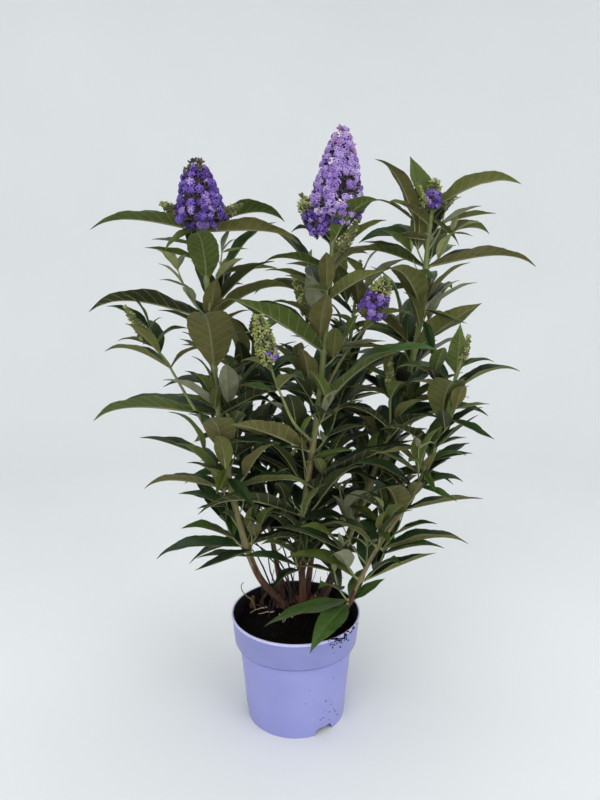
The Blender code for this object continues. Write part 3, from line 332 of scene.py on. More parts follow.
def atHeight(path, height):
    for low, high in zip(path, path[1:]):
        if low.z <= height <= high.z:
            share = (height - low.z) / max(high.z - low.z, 1e-9)
            return low.lerp(high, share), (high - low).normalized()
    end = path[-1] if height > path[-1].z else path[0]
    return end.copy(), (path[-1] - path[-2]).normalized()


def along(path, share):
    place = share * (len(path) - 1)
    index = min(int(place), len(path) - 2)
    return path[index].lerp(path[index + 1], place - index)


def between(path, low, high, count):
    return [atHeight(path, height)[0] for height in taper(low, high, count)]


def taper(low, high, count):
    return [low + (high - low) * i / (count - 1) for i in range(count)]


def heading(turn, rise):
    a, e = radians(turn), radians(rise)
    return Vector((cos(e) * cos(a), cos(e) * sin(a), sin(e)))


def outward(direction, ahead):
    # the part of a direction that stands square to a stem
    return (direction - ahead * direction.dot(ahead)).normalized()


def leafStation(leaf, t):
    # middle, side and normal of a leaf at a share of its length, and half its width there
    rise, arch, turn = (radians(leaf[name]) for name in ("rise", "arch", "turn"))
    level = Vector((cos(turn), sin(turn), 0))
    side = Vector((-sin(turn), cos(turn), 0))
    steps = max(1, ceil(t * leafShape["steps"]))
    out = up = 0.0
    for i in range(steps):
        slope = rise - arch * (t * (i + 0.5) / steps) ** leaf["bend"]
        out += leaf["length"] * t / steps * cos(slope)
        up += leaf["length"] * t / steps * sin(slope)
    drift = leaf["length"] * radians(leaf["sweep"]) * t * t / 2
    middle = leaf["base"] + level * out + Vector((0, 0, up)) + side * drift
    slope = rise - arch * t ** leaf["bend"]
    normal = (level * cos(slope) + Vector((0, 0, sin(slope)))).cross(side)
    roll = radians(leaf["roll"]) * t
    rolled = side * cos(roll) + normal * sin(roll), normal * cos(roll) - side * sin(roll)
    return middle, *rolled, leaf["width"] / 2 * outline(t)


def outline(t):
    if t <= 0 or t >= 1:
        return 0.0
    power = log(0.5) / log(leafShape["widestAt"])
    return sin(pi * t**power) ** 1.15 * (1 - 0.12 * t)


def leafSolid(leaf, margin=0.0, start=0.0):
    # the solids' leaf, for testing what room there is; with a start above 0 its root is left out
    thick = leaf["length"] * leafShape["thickShare"] / 2 + margin
    fold = radians(leaf["fold"])
    stations = leafShape["longStations" if leaf["large"] else "shortStations"]
    points = [] if start else [leaf["base"].copy()]
    for t in (start, *stations) if start else stations:
        middle, side, normal, half = leafStation(leaf, t)
        half = max(half, leafShape["stalkHalf"]) + margin
        out, lift = side * half * cos(fold), normal * half * sin(fold)
        points += [middle + out + lift, middle + normal * thick, middle - out + lift,
                   middle - normal * thick]
    points.append(leafStation(leaf, 1.0)[0])
    tip = len(points) - 1
    rings = [range(i, i + 4) for i in range(tip % 4, tip, 4)]
    faces = [tuple(rings[0])] if start else [(0, rings[0][i], rings[0][(i + 1) % 4]) for i in range(4)]
    for low, high in zip(rings, rings[1:]):
        for edge, rib in ((0, 1), (0, 3), (2, 1), (2, 3)):
            pair = [(high[rib], low[rib], low[edge]), (high[edge], high[rib], low[edge])]
            faces += pair if (rib - edge) % 4 == 1 else [tuple(reversed(face)) for face in pair]
    return points, faces + [(tip, rings[-1][(i + 1) % 4], rings[-1][i]) for i in range(4)]


def tubeSolid(path, radii, sides, margin=testMargin):
    points = tubePoints(path, sides, lambda i, angle: radii[i] + margin)
    foot, top = endFaces(len(path), sides).tolist()
    return points, [foot, *gridFaces(len(path), sides).tolist(), top]


def headRadius(head, t):
    return head["radius"] * min(1.0, t / 0.14) ** 0.5 * max(1 - t, 0.0) ** headShapes[head["kind"]][3]


def headSolid(head):
    sides, tiers, waist, _ = headShapes[head["kind"]]
    shares = taper(headFoot, headTop, 2 * tiers + 1)
    path = [head["base"] + head["ahead"] * head["length"] * t for t in shares]
    return tubeSolid(path, [headRadius(head, t) * (1.0 if i % 2 else waist) for i, t in enumerate(shares)],
                     sides)


def boxed(solid):
    points, faces = solid
    low, high = (Vector([end(p[i] for p in points) for i in range(3)]) for end in (min, max))
    return low, high, BVHTree.FromPolygons(points, faces)


class Space:
    # what is already there, so that a new leaf or twig can keep off it
    def __init__(self, held=()):
        self.held = list(held)

    def add(self, solid, group, kind):
        self.held.append((group, kind, *boxed(solid)))

    def free(self, solid, group, own=()):
        # whether a shape touches nothing of the other groups, and none of its own group's kinds in own
        low, high, tree = boxed(solid)
        for other, kind, start, end, held in self.held:
            if kind not in own if other == group else kind == "blade":
                continue
            if all(low[i] <= end[i] and high[i] >= start[i] for i in range(3)) and tree.overlap(held):
                return False
        return True


# Growth: the rule that makes every mass

def newMass(name):
    return {"name": name, "tubes": [], "leaves": [], "heads": []}


def makeLeaf(base, turn, rise, length, rng, large):
    # one leaf with its seeded differences: the steeper, the wider, flatter and more arched
    def wobble(name):
        return rng.uniform(-1, 1) * jitter[name]

    rise, arch, roll = rise if isinstance(rise, tuple) else (rise, None, 0)
    spread = 1 if large else jitter["short"]
    turn += wobble("turn") * spread
    rise += wobble("rise") * spread
    share = leafShape["longWidth" if large else "shortWidth"] + leafShape["widthPerRise"] * max(rise, 0)
    archFoot, archSlope, bend, bendSlope = leafShape["longArch" if large else "shortArch"]
    opened = leafShape["shadedFold"] if base.z < leafShape["shadedBelow"] else 1
    return {"base": base, "turn": turn, "rise": rise, "length": length, "large": large,
            "arch": (archFoot + archSlope * rise if arch is None else arch) + wobble("arch"),
            "bend": max(leafShape["leastBend"], bend - bendSlope * rise),
            "roll": roll + wobble("roll"), "sweep": wobble("sweep"),
            "fold": (leafShape["fold"] - leafShape["foldPerRise"] * rise) * opened + wobble("fold"),
            "width": length * share * (1 + wobble("width"))}


def variants(leaf, count=None):
    for turn, rise, size in leafTries[:count]:
        yield dict(leaf, turn=leaf["turn"] + turn, rise=leaf["rise"] + rise,
                   length=leaf["length"] * size, width=leaf["width"] * size)


def clearOfPot(points):
    overRim = max(hypot(p.x, p.y) for p in points) > potShape["rimRadius"] - leafShape["rimReach"]
    return min(p.z for p in points) >= (potShape["height"] if overRim else ground) + leafShape["clearance"]


def placeLeaf(space, mass, leaf):
    for tried in variants(leaf):
        whole, blade = leafSolid(tried, testMargin), leafSolid(tried, testMargin, testStart)
        roomy = clearOfPot(whole[0]) and space.free(whole, mass["name"])
        if roomy and space.free(blade, mass["name"], ("blade",)):
            space.add(whole, mass["name"], "leaf")
            space.add(blade, mass["name"], "blade")
            mass["leaves"].append(tried)
            return


def placeTube(space, mass, path, radii, sides, test=None):
    space.add(test or tubeSolid(path, radii, sides), mass["name"], "tube")
    mass["tubes"].append((path, radii, sides))


def placeHead(space, mass, base, ahead, kind, length, radius):
    ahead = ahead.normalized()
    foot = base - ahead * (headFoot * length + headSunk)
    head = {"base": foot, "ahead": ahead, "kind": kind, "length": length, "radius": radius}
    shape = headSolid(head)
    if fits := space.free(shape, mass["name"]):
        space.add(shape, mass["name"], "head")
        mass["heads"].append(head)
    return fits


def growShoot(space, mass, start, turn, rng, young=()):
    # a twig with pairs of leaves; a young one has its own rise and length, and small pale leaves
    if young:
        rise, length = young
    else:
        length, rise = rng.uniform(*shootShape["length"]), rng.uniform(*shootShape["rise"])
        turn += rng.uniform(-shootShape["turn"], shootShape["turn"])
    middle = start + heading(turn, rise) * length / 2
    path = [start, middle, middle + heading(turn, rise + shootShape["curve"]) * length / 2]
    radii = [shootShape["radius"] * share for share in shootShape["taper"]]
    leafRng = random.Random(rng.random())
    shape = tubeSolid([start.lerp(middle, 0.4), *path[1:]], radii, 3)
    if not space.free(shape, mass["name"], ("blade", "head")):
        return
    placeTube(space, mass, path, radii, 3, shape)
    for pair, share in enumerate(shootShape["pairs"] if length > shootShape["long"]
                                 else shootShape["pairs"][::2]):
        base = along(path, share * 0.98)
        for half in (1, -1):
            size = leafRng.uniform(*shootShape["leaf"]) * (shootShape["youngLeaf"] if young else 1)
            up = leafRng.uniform(*shootShape["leafRise"]) + shootShape["riseToTip"] * share
            aside = leafRng.uniform(*shootShape["aside"])
            if pair % 2:
                aside, up = shootShape["uprightAside"], up + shootShape["uprightSpread"] * half
            leaf = makeLeaf(base, turn + half * aside, up, size, leafRng, False)
            placeLeaf(space, mass, dict(leaf, young=bool(young)))


def growSpray(space, mass, start, spray):
    _, turn, rise, stalk, *head = spray
    ahead = heading(turn, rise)
    path = [start, start + ahead * stalk * 0.6, start + ahead * stalk]
    radii = [shootShape["radius"] * share for share in shootShape["sprayTaper"]]
    shape = tubeSolid([path[0].lerp(path[1], 0.5), *path[1:]], radii, 3)
    if space.free(shape, mass["name"]) and placeHead(space, mass, path[2], ahead, *head):
        placeTube(space, mass, path, radii, 3, shape)


def nodeGrowth(space, mass, node, point, rng, shoots, bare=False):
    # the two leaves of a node, and the shoots in their axils for later
    _, turn, first, firstRise, second, secondRise = node
    for half, length, rise in ((0, first, firstRise), (180, second, secondRise)):
        placeLeaf(space, mass, makeLeaf(point, turn + half, rise, length, rng, True))
        if not bare:
            shoots.append((mass, point + heading(turn + half, 30) * 0.001, turn + half, rng))


def startTop(space, name, cane):
    top = newMass(f"foliage_{name}_top")
    stem = between(cane["path"], cane["fork"] + clearGap, cane["path"][-1].z, 7)
    placeTube(space, top, stem, [caneRadius(cane, p.z) for p in stem], 6)
    placeHead(space, top, stem[-1], stem[-1] - stem[-2], *cane["head"])
    for spray in cane.get("sprays", ()):
        growSpray(space, top, atHeight(cane["path"], spray[0])[0], spray)
    return top


def startBoughMass(space, name, bough):
    mass = newMass(f"foliage_{name}")
    end, tip = bough["path"][-1], Vector(bough["tip"])
    ahead = (end - bough["path"][-2]).normalized()
    start = end + ahead * clearGap
    stem = spline([start, start + ahead * (tip - end).length * 0.3, tip], 6)
    placeTube(space, mass, stem, [bough["radii"][1] * (1 - 0.04 * i) for i in range(6)], 5)
    placeHead(space, mass, tip, stem[-1] - stem[-2] + Vector((0, 0, 0.004)), *bough["head"])
    return mass


def startSide(space, name, cane, node, half):
    height, turn, first, firstRise, second, secondRise = node
    mass = newMass(name)
    point, ahead = atHeight(cane["path"], height)
    out = outward(heading(turn + half, 0), ahead)
    root = point + out * (caneRadius(cane, height) + clearGap)
    reach, wide = shootShape["stubOut"], shootShape["stubRadius"]
    stub = [root, root + out * reach * 0.55, root + out * reach + ahead * 0.0012]
    mass["tubes"].append((stub, [wide, wide, wide * 0.75], 4))
    size, rise = (second, secondRise) if half else (first, firstRise)
    placeLeaf(space, mass, makeLeaf(stub[1], turn + half, rise, size, cane["rng"], True))
    return mass, stub[1] + out * 0.0008


def growPlant():
    # limbs first, then each mass's stem and head, then the large leaves, and the shoots last
    space, masses, shoots = Space(), [], []
    for name, cane in canes.items():
        cane["path"], cane["rng"] = spline(cane["through"], 49), random.Random(cane["seed"])
        path = between(cane["path"], ground + clearGap, cane["fork"], 9)
        path.insert(1, atHeight(cane["path"], ground + 0.006)[0])
        space.add(tubeSolid(path, [caneRadius(cane, p.z) for p in path], 8), f"cane_{name}", "limb")
    for name, bough in boughs.items():
        bough["path"], bough["rng"] = boughPath(bough, canes[bough["cane"]]), random.Random(bough["seed"])
        space.add(tubeSolid(bough["path"], taper(*bough["radii"], len(bough["path"])), 6), f"bough_{name}",
                  "limb")
    tops = {name: startTop(space, name, cane) for name, cane in canes.items()}
    ends = {name: startBoughMass(space, name, bough) for name, bough in boughs.items()}
    for name, cane in canes.items():
        top, rng = tops[name], cane["rng"]
        for height, turn, *young in cane.get("young", ()):
            shoots.append((top, atHeight(cane["path"], height)[0], turn, rng, young))
        for number, node in enumerate(cane["nodes"]):
            if node[0] > cane["fork"]:
                bare = node[0] >= cane["path"][-1].z - shootShape["bareNeck"]
                nodeGrowth(space, top, node, atHeight(cane["path"], node[0])[0], rng, shoots, bare)
                continue
            for letter, half in (("a", 0), ("b", 180)):
                mass, axil = startSide(space, f"foliage_{name}_{number + 1}{letter}", cane, node, half)
                masses.append(mass)
                shoots.append((mass, axil, node[1] + half, rng))
    for name, bough in boughs.items():
        for node in bough["nodes"]:
            point = along(ends[name]["tubes"][0][0], node[0])
            nodeGrowth(space, ends[name], node, point, bough["rng"], shoots)
    for shoot in shoots:
        growShoot(space, *shoot)
    return [*tops.values(), *ends.values(), *masses], space


def caneRadius(cane, height):
    low, high = cane["radii"]
    foot, head = cane["path"][0].z, cane["path"][-1].z
    share = (height - foot) / (head - foot)
    return (low + (high - low) * share) * (1 + 0.75 * exp(-(height - foot) / 0.007))


def boughPath(bough, cane):
    point, ahead = atHeight(cane["path"], bough["leavesAt"])
    bow = Vector(bough["bow"])
    out = outward(bow - point, ahead)
    root = point + out * (caneRadius(cane, bough["leavesAt"]) + clearGap)
    return [root] + spline([root + out * 0.003, bow, Vector(bough["end"])], 7)


# Finer growth on the same canes, by the same rule: side shoots with leaf pairs, and young tufts

fineShape = {"seed": 97, "step": (0.019, 0.036), "thinsAbove": 0.42, "startsAt": 0.190, "bareTop": 0.045,
             "length": (0.020, 0.060), "longShoot": 0.042, "leaf": (0.046, 0.088), "rise": (40, 72),
             "curve": 16, "goldenTurn": 137.5, "tries": 6, "reach": 0.128, "tuftLeaf": (0.014, 0.030),
             "tuftRise": (48, 80)}


def placeFine(solid, mass, leaf, axis, young=False):
    for tried in variants(leaf, fineShape["tries"]):
        shape = leafSolid(tried, 0.0, testStart)
        if (shape[0][-1] - axis).xy.length > fineShape["reach"] or not clearOfPot(shape[0]):
            continue
        if solid.free(shape, None):
            solid.add(shape, mass["name"], "leaf")
            mass["leaves"].append(dict(tried, young=young))
            return


def fineShoot(solid, mass, start, turn, axis, rng):
    length, rise = rng.uniform(*fineShape["length"]), rng.uniform(*fineShape["rise"])
    middle = start + heading(turn, rise) * length * 0.5
    path = [start, middle, middle + heading(turn, rise + fineShape["curve"]) * length * 0.5]
    wide, before = shootShape["radius"] * rng.uniform(0.62, 0.95), len(mass["leaves"])
    for pair, share in enumerate(taper(0.35, 1.0, 3 if length > fineShape["longShoot"] else 2)):
        base = path[0].lerp(path[1], share * 2) if share < 0.5 else path[1].lerp(path[2], share * 2 - 1)
        for half in (1, -1):
            size = rng.uniform(*fineShape["leaf"]) * (1 - 0.22 * share)
            up = rng.uniform(22, 72) if rng.random() < 0.8 else rng.uniform(-20, 14)
            aside, lift = (14, 24 * half) if pair % 2 else (rng.uniform(44, 76), 0)
            placeFine(solid, mass, makeLeaf(base, turn + half * aside, up + lift, size, rng, False), axis)
    if len(mass["leaves"]) > before:
        mass["tubes"].append((path, [wide, wide * 0.85, wide * 0.6], 3))
        youngTuft(solid, mass, path[2], turn, axis, rng)


def youngTuft(solid, mass, point, turn, axis, rng):
    # the youngest pair or two at the end of a shoot or in the axil of a leaf, upright and pale
    for k in range(rng.choice((2, 3, 4))):
        size, rise = rng.uniform(*fineShape["tuftLeaf"]), rng.uniform(*fineShape["tuftRise"])
        leaf = makeLeaf(point, turn + 90 * k + rng.uniform(-20, 20), rise, size, rng, False)
        placeFine(solid, mass, leaf, axis, True)


def growFiner(space, masses):
    rng = random.Random(fineShape["seed"])
    byName = {mass["name"]: mass for mass in masses}
    solid = Space((group, "leaf" if kind == "blade" else kind, *rest) for group, kind, *rest in space.held
                  if kind in ("blade", "limb", "head"))
    for mass in masses:
        for path in [path for path, _, sides in mass["tubes"] if sides == 3]:
            youngTuft(solid, mass, path[-1], rng.uniform(0, 360), mass["tubes"][0][0][0], rng)
    for name, cane in canes.items():
        sides = [(node[0], f"foliage_{name}_{number + 1}a") for number, node in enumerate(cane["nodes"])
                 if node[0] <= cane["fork"]]
        height, turn = fineShape["startsAt"], rng.uniform(0, 360)
        while height < cane["path"][-1].z - fineShape["bareTop"]:
            point = atHeight(cane["path"], height)[0]
            nearest = min(sides, key=lambda side: abs(side[0] - height))[1]
            mass = byName[f"foliage_{name}_top" if height > cane["fork"] else nearest]
            start = point + heading(turn, 0) * caneRadius(cane, height) * 0.5
            fineShoot(solid, mass, start, turn, point, rng)
            turn += fineShape["goldenTurn"]
            height += fineShape["step"][height >= fineShape["thinsAbove"]] * rng.uniform(0.8, 1.2)


# Leaf blades: two skins a third of a millimetre apart, with a ribbed keel and quilted side veins

bladeShape = {"thickness": 0.00034, "slant": 0.11, "quilt": 0.0021, "wave": 0.010, "waves": 2.6,
              "rib": 0.0085, "veinHalf": 0.0042, "crinkle": 0.035, "flatten": 0.30}
# number of side veins, whether they are paler strips below, and the lines of points across
bladeKinds = {"long": (10, True, (-1, -0.68, -0.34, -0.001, 0, 0.001, 0.34, 0.68, 1)),
              "short": (6, False, (-1, -0.5, -0.001, 0, 0.001, 0.5, 1))}
# Tints of upper and under skins, two for each so that a blade is never one flat colour
leafTops = {"deep": ("#13210f", "#1c2e17"), "mid": ("#22361a", "#2d4421"), "fresh": ("#385122", "#455f2b"),
            "olive": ("#46541f", "#535f28"), "young": ("#7d8863", "#8e9772")}
leafUnders = {"olive": ("#5b6030", "#696a3a"), "green": ("#4a5826", "#57652f"),
              "tan": ("#5c5a31", "#6b673b"), "grey": ("#7b7d62", "#8c8e74"),
              # shade is a dark underside tint that paints the shade inside the crown
              "bud": ("#858a56", "#989c66"), "shade": ("#2f361c", "#3b4123")}
ribTints = {"upper": ("#4a5936", "#5a693c"), "under": ("#787950", "#86855d"),
            "side vein": ("#666840", "#717148")}


def leafSkins():
    # living leaf: a thin waxy skin above, so a soft sheen; felted hairs below, so matt and paler
    waxy = {"Roughness": 0.45, "IOR": 1.45, "Specular IOR Level": 0.28}
    felted = {"Roughness": 0.8, "IOR": 1.4, "Specular IOR Level": 0.2, "Sheen Weight": 0.05,
              "Sheen Roughness": 0.5}
    kinds = (("waxy upper leaf", leafTops, 9, 0.05, waxy, 4),
             ("felted leaf underside", leafUnders, 7, 0.08, felted, 4),
             ("leaf rib", ribTints, 4, 0.05, {"Roughness": 0.6, "IOR": 1.45}, 3))
    return [finish(f"{kind} {name}", pair, grain, relief, sockets, detail=detail)
            for kind, tints, grain, relief, sockets, detail in kinds for name, pair in tints.items()]


def bladeRows(veins, strips):
    # each row's share of the length along the rib and its quilting: sunk on a vein, raised between
    half, pitch = bladeShape["veinHalf"], 0.90 / veins
    rows = [(0.0, 0.0), (0.03, 0.0)]
    for k in range(veins):
        middle = 0.06 + pitch * k
        rows += [(middle - half, -1.0), (middle + half, -1.0)] if strips else [(middle, -1.0)]
        rows.append((middle + pitch / 2, 1.0))
    return np.array(rows + [(1.0, 0.0)])


def bladeFaces(rows, strips, columns):
    # face patterns of one blade and their kind: 0 upper, 1 under, 2 upper rib, 3 under rib, 4 veins below
    grid, below = gridFaces(rows, columns, False), rows * columns
    i, j = np.divmod(np.arange(len(grid)), columns - 1)
    rib = (j == columns // 2) | (j == columns // 2 - 1)
    veins = strips & (i >= 2) & ((i - 2) % 3 == 0) & (i < rows - 2)
    edges = []
    for r in range(rows - 1):
        a, b = r * columns, (r + 1) * columns
        c, d = a + columns - 1, b + columns - 1
        edges += [(a, a + below, b + below, b), (c, d, d + below, c + below)]
    for c in range(columns - 1):
        e = (rows - 1) * columns + c
        edges += [(c, c + 1, c + 1 + below, c + below), (e, e + below, e + 1 + below, e + 1)]
    kinds = [np.where(rib, 2, 0), np.where(rib, 3, np.where(veins, 4, 1)), np.full(len(edges), 1)]
    return np.concatenate([grid[:, [0, 3, 2, 1]], grid + below, np.array(edges)]), np.concatenate(kinds)


def bladePart(leaf, pattern, rows, shares, rng):
    # stations along the leaf, then every point of both skins from them
    length, width = leaf["length"], leaf["width"]
    t = np.linspace(0, 1, 41)
    slope = radians(leaf["rise"]) - radians(leaf["arch"]) * t ** leaf["bend"]

    def summed(steps):
        return np.concatenate([[0], np.cumsum((steps[1:] + steps[:-1]) / 2 * (length / 40))])[:, None]

    turn = radians(leaf["turn"])
    level, flat, upward = np.array([[cos(turn), sin(turn), 0], [-sin(turn), cos(turn), 0], [0, 0, 1.0]])
    drift = (length * radians(leaf["sweep"]) * t * t / 2)[:, None]
    middle = np.array(leaf["base"]) + summed(np.cos(slope)) * level + summed(np.sin(slope)) * upward
    middle = middle + drift * flat
    normal = np.cross(np.cos(slope)[:, None] * level + np.sin(slope)[:, None] * upward, flat)
    roll = np.radians(leaf["roll"]) * t[:, None]
    side, normal = flat * np.cos(roll) + normal * np.sin(roll), normal * np.cos(roll) - flat * np.sin(roll)
    sign, along0 = np.sign(shares), rows[:, :1]
    sign[len(shares) // 2] = 0

    def wideAt(half, place):
        return np.maximum(half, leafShape["stalkHalf"] * (1 - place) * 0.8 + 0.0002)

    ribHalf = width * bladeShape["rib"] * 3.2 * (1.1 - along0)
    rowHalf = np.array([[width / 2 * outline(x)] for x in rows[:, 0]])
    ribShare = np.minimum(0.35, ribHalf / wideAt(rowHalf, along0))
    v = np.where(sign == 0, 0, ribShare + (1 - ribShare) * np.abs(shares))
    at = np.clip(along0 + bladeShape["slant"] * 4 * along0 * (1 - along0) * v, 0, 1)
    halves = [width / 2 * outline(x / 80) for x in range(81)]
    half = wideAt(np.interp(at, np.linspace(0, 1, 81), halves), at)
    half = half * (1 - bladeShape["crinkle"] * (rows[:, 1:] > 0) * (v > 0.9))
    fold = radians(leaf["fold"]) * (1 - bladeShape["flatten"] * v)
    phases = np.where(sign < 0, rng.uniform(0, 6.28), rng.uniform(0, 6.28))
    wave = bladeShape["wave"] * length * v**2 * np.sin(2 * np.pi * bladeShape["waves"] * at + phases)
    fullness = np.minimum(1, half / (width * 0.3))
    quilt = bladeShape["quilt"] * length * rows[:, 1:] * np.sin(np.pi * v) * fullness
    up = half * v * np.sin(fold) + (wave + quilt) * fullness
    place, sideAt, normalAt = (np.stack([np.interp(at, t, table[:, k]) for k in range(3)], -1)
                               for table in (middle, side, normal))
    skin = place + sideAt * (sign * half * v * np.cos(fold))[..., None] + normalAt * up[..., None]
    facing = (normalAt * np.cos(fold)[..., None]
              - sideAt * (sign * np.sin(fold))[..., None]) * bladeShape["thickness"] / 2
    deep = normalAt * np.where(sign == 0, ribHalf * 1.1, 0)[..., None]
    points = np.concatenate([(skin + facing - deep * 0.15).reshape(-1, 3),
                             (skin - facing - deep).reshape(-1, 3)])
    faces, kinds = pattern
    under, ribs = len(leafTops) + list(leafUnders).index(leaf["under"]), len(leafTops) + len(leafUnders)
    slots = np.array([list(leafTops).index(leaf["top"]), under, ribs, ribs + 1, ribs + 2])
    return points, [(faces, slots[kinds])]


def dealTints(leaf, rng):
    # large leaves are brighter at the foot and the very top, and the lower a leaf, the likelier its
    # underside takes the dark shade tint, which is painted shade
    if leaf.get("young"):
        leaf["top"], leaf["under"] = "young", rng.choice(["grey", "bud"])
        return
    large, height = leaf["large"], leaf["base"].z
    counts = (9, 8, 2, 1) if large else (5, 8, 4, 2)
    leaf["top"] = rng.choice([name for name, count in zip(leafTops, counts) for _ in range(count)])
    if large and not 0.18 < height < 0.63:
        leaf["top"] = "fresh" if height < 0.18 else "olive"
    # the lower the leaf, the more draws of the painted shade tint for its underside
    shades = 7 if height < 0.28 else 5 if height < 0.40 else 3 if height < 0.55 else 0
    unders = ["shade"] * shades + ["olive", "green", "tan", "olive" if large else "grey"] * 3
    leaf["under"] = rng.choice(unders[:12])


def buildLeaves(masses, nodes):
    skins, rng = leafSkins(), random.Random(11)
    parts, patterns = {kind: [] for kind in bladeKinds}, {}
    for kind, (veins, strips, shares) in bladeKinds.items():
        rows = bladeRows(veins, strips)
        patterns[kind] = bladeFaces(len(rows), strips, len(shares)), rows, np.array(shares, float)
    for leaf in [leaf for mass in masses for leaf in mass["leaves"]]:
        dealTints(leaf, rng)
        kind = "long" if leaf["large"] else "short"
        parts[kind].append(bladePart(leaf, *patterns[kind], rng))
    for kind in parts:
        joinPieces(f"leaves_{kind}", parts[kind], skins, nodes)


# Flower heads: tiers of small cymes round an axis, each cyme a dome of florets or buds

# height of a tier, room and number of florets of a cyme, and its reach
headStyle = {"bloom": (0.0076, 0.0102, 7, 0.0058), "violet": (0.0078, 0.0104, 6, 0.0056),
             "opening": (0.0058, 0.0075, 5, 0.0034), "cluster": (0.0064, 0.0085, 5, 0.0045),
             "spike": (0.0052, 0.0066, 5, 0.0030)}
floretSize, budSize = 0.0038, 0.0023  # from the throat to the end of a petal, and half a bud
coreShare = 0.62  # of the head's radius, filled by a core in a bud tint that paints the shade between the cymes
# What a cyme holds by its height on the head: small letters are florets, capitals buds, - is a gap
headMix = {"bloom": [(0.10, "vddlwB--"), (0.34, "lllmmmvwK--"), (0.74, "llllllllmmm-"), (0.90, "ppllmR"),
                     (1.01, "ppRR")],
           "violet": [(0.24, "vvdddKm-"), (0.80, "vvvvddm-"), (0.90, "vdKB"), (1.01, "KKKB")],
           "opening": [(0.30, "YvYY"), (1.01, "YYYG")], "cluster": [(0.66, "vvdmdK"), (1.01, "YYYG")],
           "spike": [(0.45, "GGYBB"), (1.01, "GGYYB")]}
# lilac, mauve, pink, near-white petals that are painted highlights, violet and dark petals, then yellow,
# green, brown, dark and rosy buds
floretTints = {"l": ("#a98fd0", "#b9a2da"), "m": ("#8b6cbb", "#9a7cc6"), "p": ("#a981bd", "#bc97cb"),
               "w": ("#dccfe2", "#e9e0ec"), "v": ("#6b4fae", "#7d62bc"), "d": ("#46307f", "#573f92")}
throatTints = {"eye": ("#b0703c", "#8a4f5a"), "tube": ("#4a3a78", "#5a4a82")}
budTints = {"Y": ("#8d934a", "#a9ae66"), "G": ("#56602f", "#6a743e"), "B": ("#5d5434", "#706745"),
            "K": ("#2e2130", "#40303e"), "R": ("#9c6ba6", "#ad80b4")}
flowerSlots = slotsOf(floretTints, throatTints, budTints)


def flowerSkins():
    # petals are thin and velvety, so matt with a light sheen; buds are felted
    petal = {"Roughness": 0.62, "IOR": 1.4, "Specular IOR Level": 0.3, "Sheen Weight": 0.1,
             "Sheen Roughness": 0.45}
    felt = {"Roughness": 0.8, "Sheen Weight": 0.2, "Sheen Roughness": 0.5}
    kinds = (("velvety petal", floretTints, 3, 0.04, petal),
             ("floret", throatTints, 2, 0.03, {"Roughness": 0.6}),
             ("felted bud", budTints, 2, 0.05, felt))
    return [finish(f"{kind} {name.lower()}", pair, *rest)
            for kind, tints, *rest in kinds for name, pair in tints.items()]


def floretShape():
    # a four petalled floret with its throat and tube, closed, one unit from throat to petal end
    columns, rings = 12, []
    for reach, height, lobed in ((0.14, -0.08, 0), (0.70, 0.07, 1), (1.0, -0.05, 1),
                                 (0.62, -0.12, 1), (0.17, -0.34, 0), (0.15, -0.95, 0)):
        for angle in angles(columns):
            petal = abs(sin(2 * angle)) ** 0.45
            size = reach * (1 - lobed * 0.62 * (1 - petal))
            cup = 0.07 * lobed * cos(8 * angle) - 0.05 * lobed * petal
            rings.append((size * cos(angle), size * sin(angle), height + cup))
    # the top face looks along +Z, so rings run outwards and down the back
    faces, bands = gridFaces(6, columns)[:, ::-1], np.repeat(np.arange(5), columns)
    return np.array(rings), faces, np.where(bands >= 3, 1, 0), endFaces(6, columns)[:, ::-1]


def budShape():
    # a plump bead on a short neck, one unit long
    points = [p for r, z in ((0.14, -0.9), (0.38, -0.30), (0.44, 0.35), (0.14, 0.92))
              for p in circle(r, z, 5)]
    return np.array(points), gridFaces(4, 5), endFaces(4, 5)


def growHead(head, rng, shapes, parts):
    (tierHeight, room, count, reach), mix = headStyle[head["kind"]], headMix[head["kind"]]
    ahead, base, length = head["ahead"], head["base"], head["length"]
    first, second = across(ahead)
    tiers = max(3, round(length / tierHeight))
    parts["stalks"].append(([base, base + ahead * length * 0.9], 0.0013, 0.0006))
    # a core in a bud tint, the darkest but in spikes, fills the middle as painted shade, so the gaps between
    # cymes look dark
    paintedShadeCore = flowerSlots["G" if head["kind"] == "spike" else "K"]
    parts["cores"].append(sweepPart(
        [base + ahead * length * (0.03 + 0.075 * i) for i in range(13)], 9,
        lambda share, angle: 0.0004 + coreShare * headRadius(head, 0.03 + 0.9 * share)
        * (1 + 0.22 * sin(5 * angle + 21 * share)),
        lambda share, angle: paintedShadeCore))
    for tier in range(tiers):
        t = (tier + 0.5) / tiers
        radius = headRadius(head, t)
        around = max(3, round(2 * pi * radius / room)) if radius > 0.003 else 2
        letters = next(row for upTo, row in mix if t <= upTo)
        near = reach * (1 if radius > reach else radius / reach)
        for k in range(around):
            angle = 2 * pi * (k + 0.5 * (tier % 2)) / around + rng.uniform(-0.18, 0.18)
            out = first * cos(angle) + second * sin(angle)
            letter = rng.choice(letters)
            facing = (out + ahead * (0.10 + 0.9 * t**3 + rng.uniform(-0.1, 0.25))).normalized()
            core = base + ahead * length * t + out * max(0.0, radius - near * 0.9)
            parts["stalks"].append(([core - out * max(0.0, radius - near) * 0.95, core], 0.0006, 0.0004))
            if letter == "-":
                # a gap holds sunken buds in the darkest bud tint, painted shade for the gap, and the stalk's
                # end moves in with them
                letter = "K"
                core -= out * 0.003
            growCyme(core, facing, near, letter, count, rng, shapes, parts)


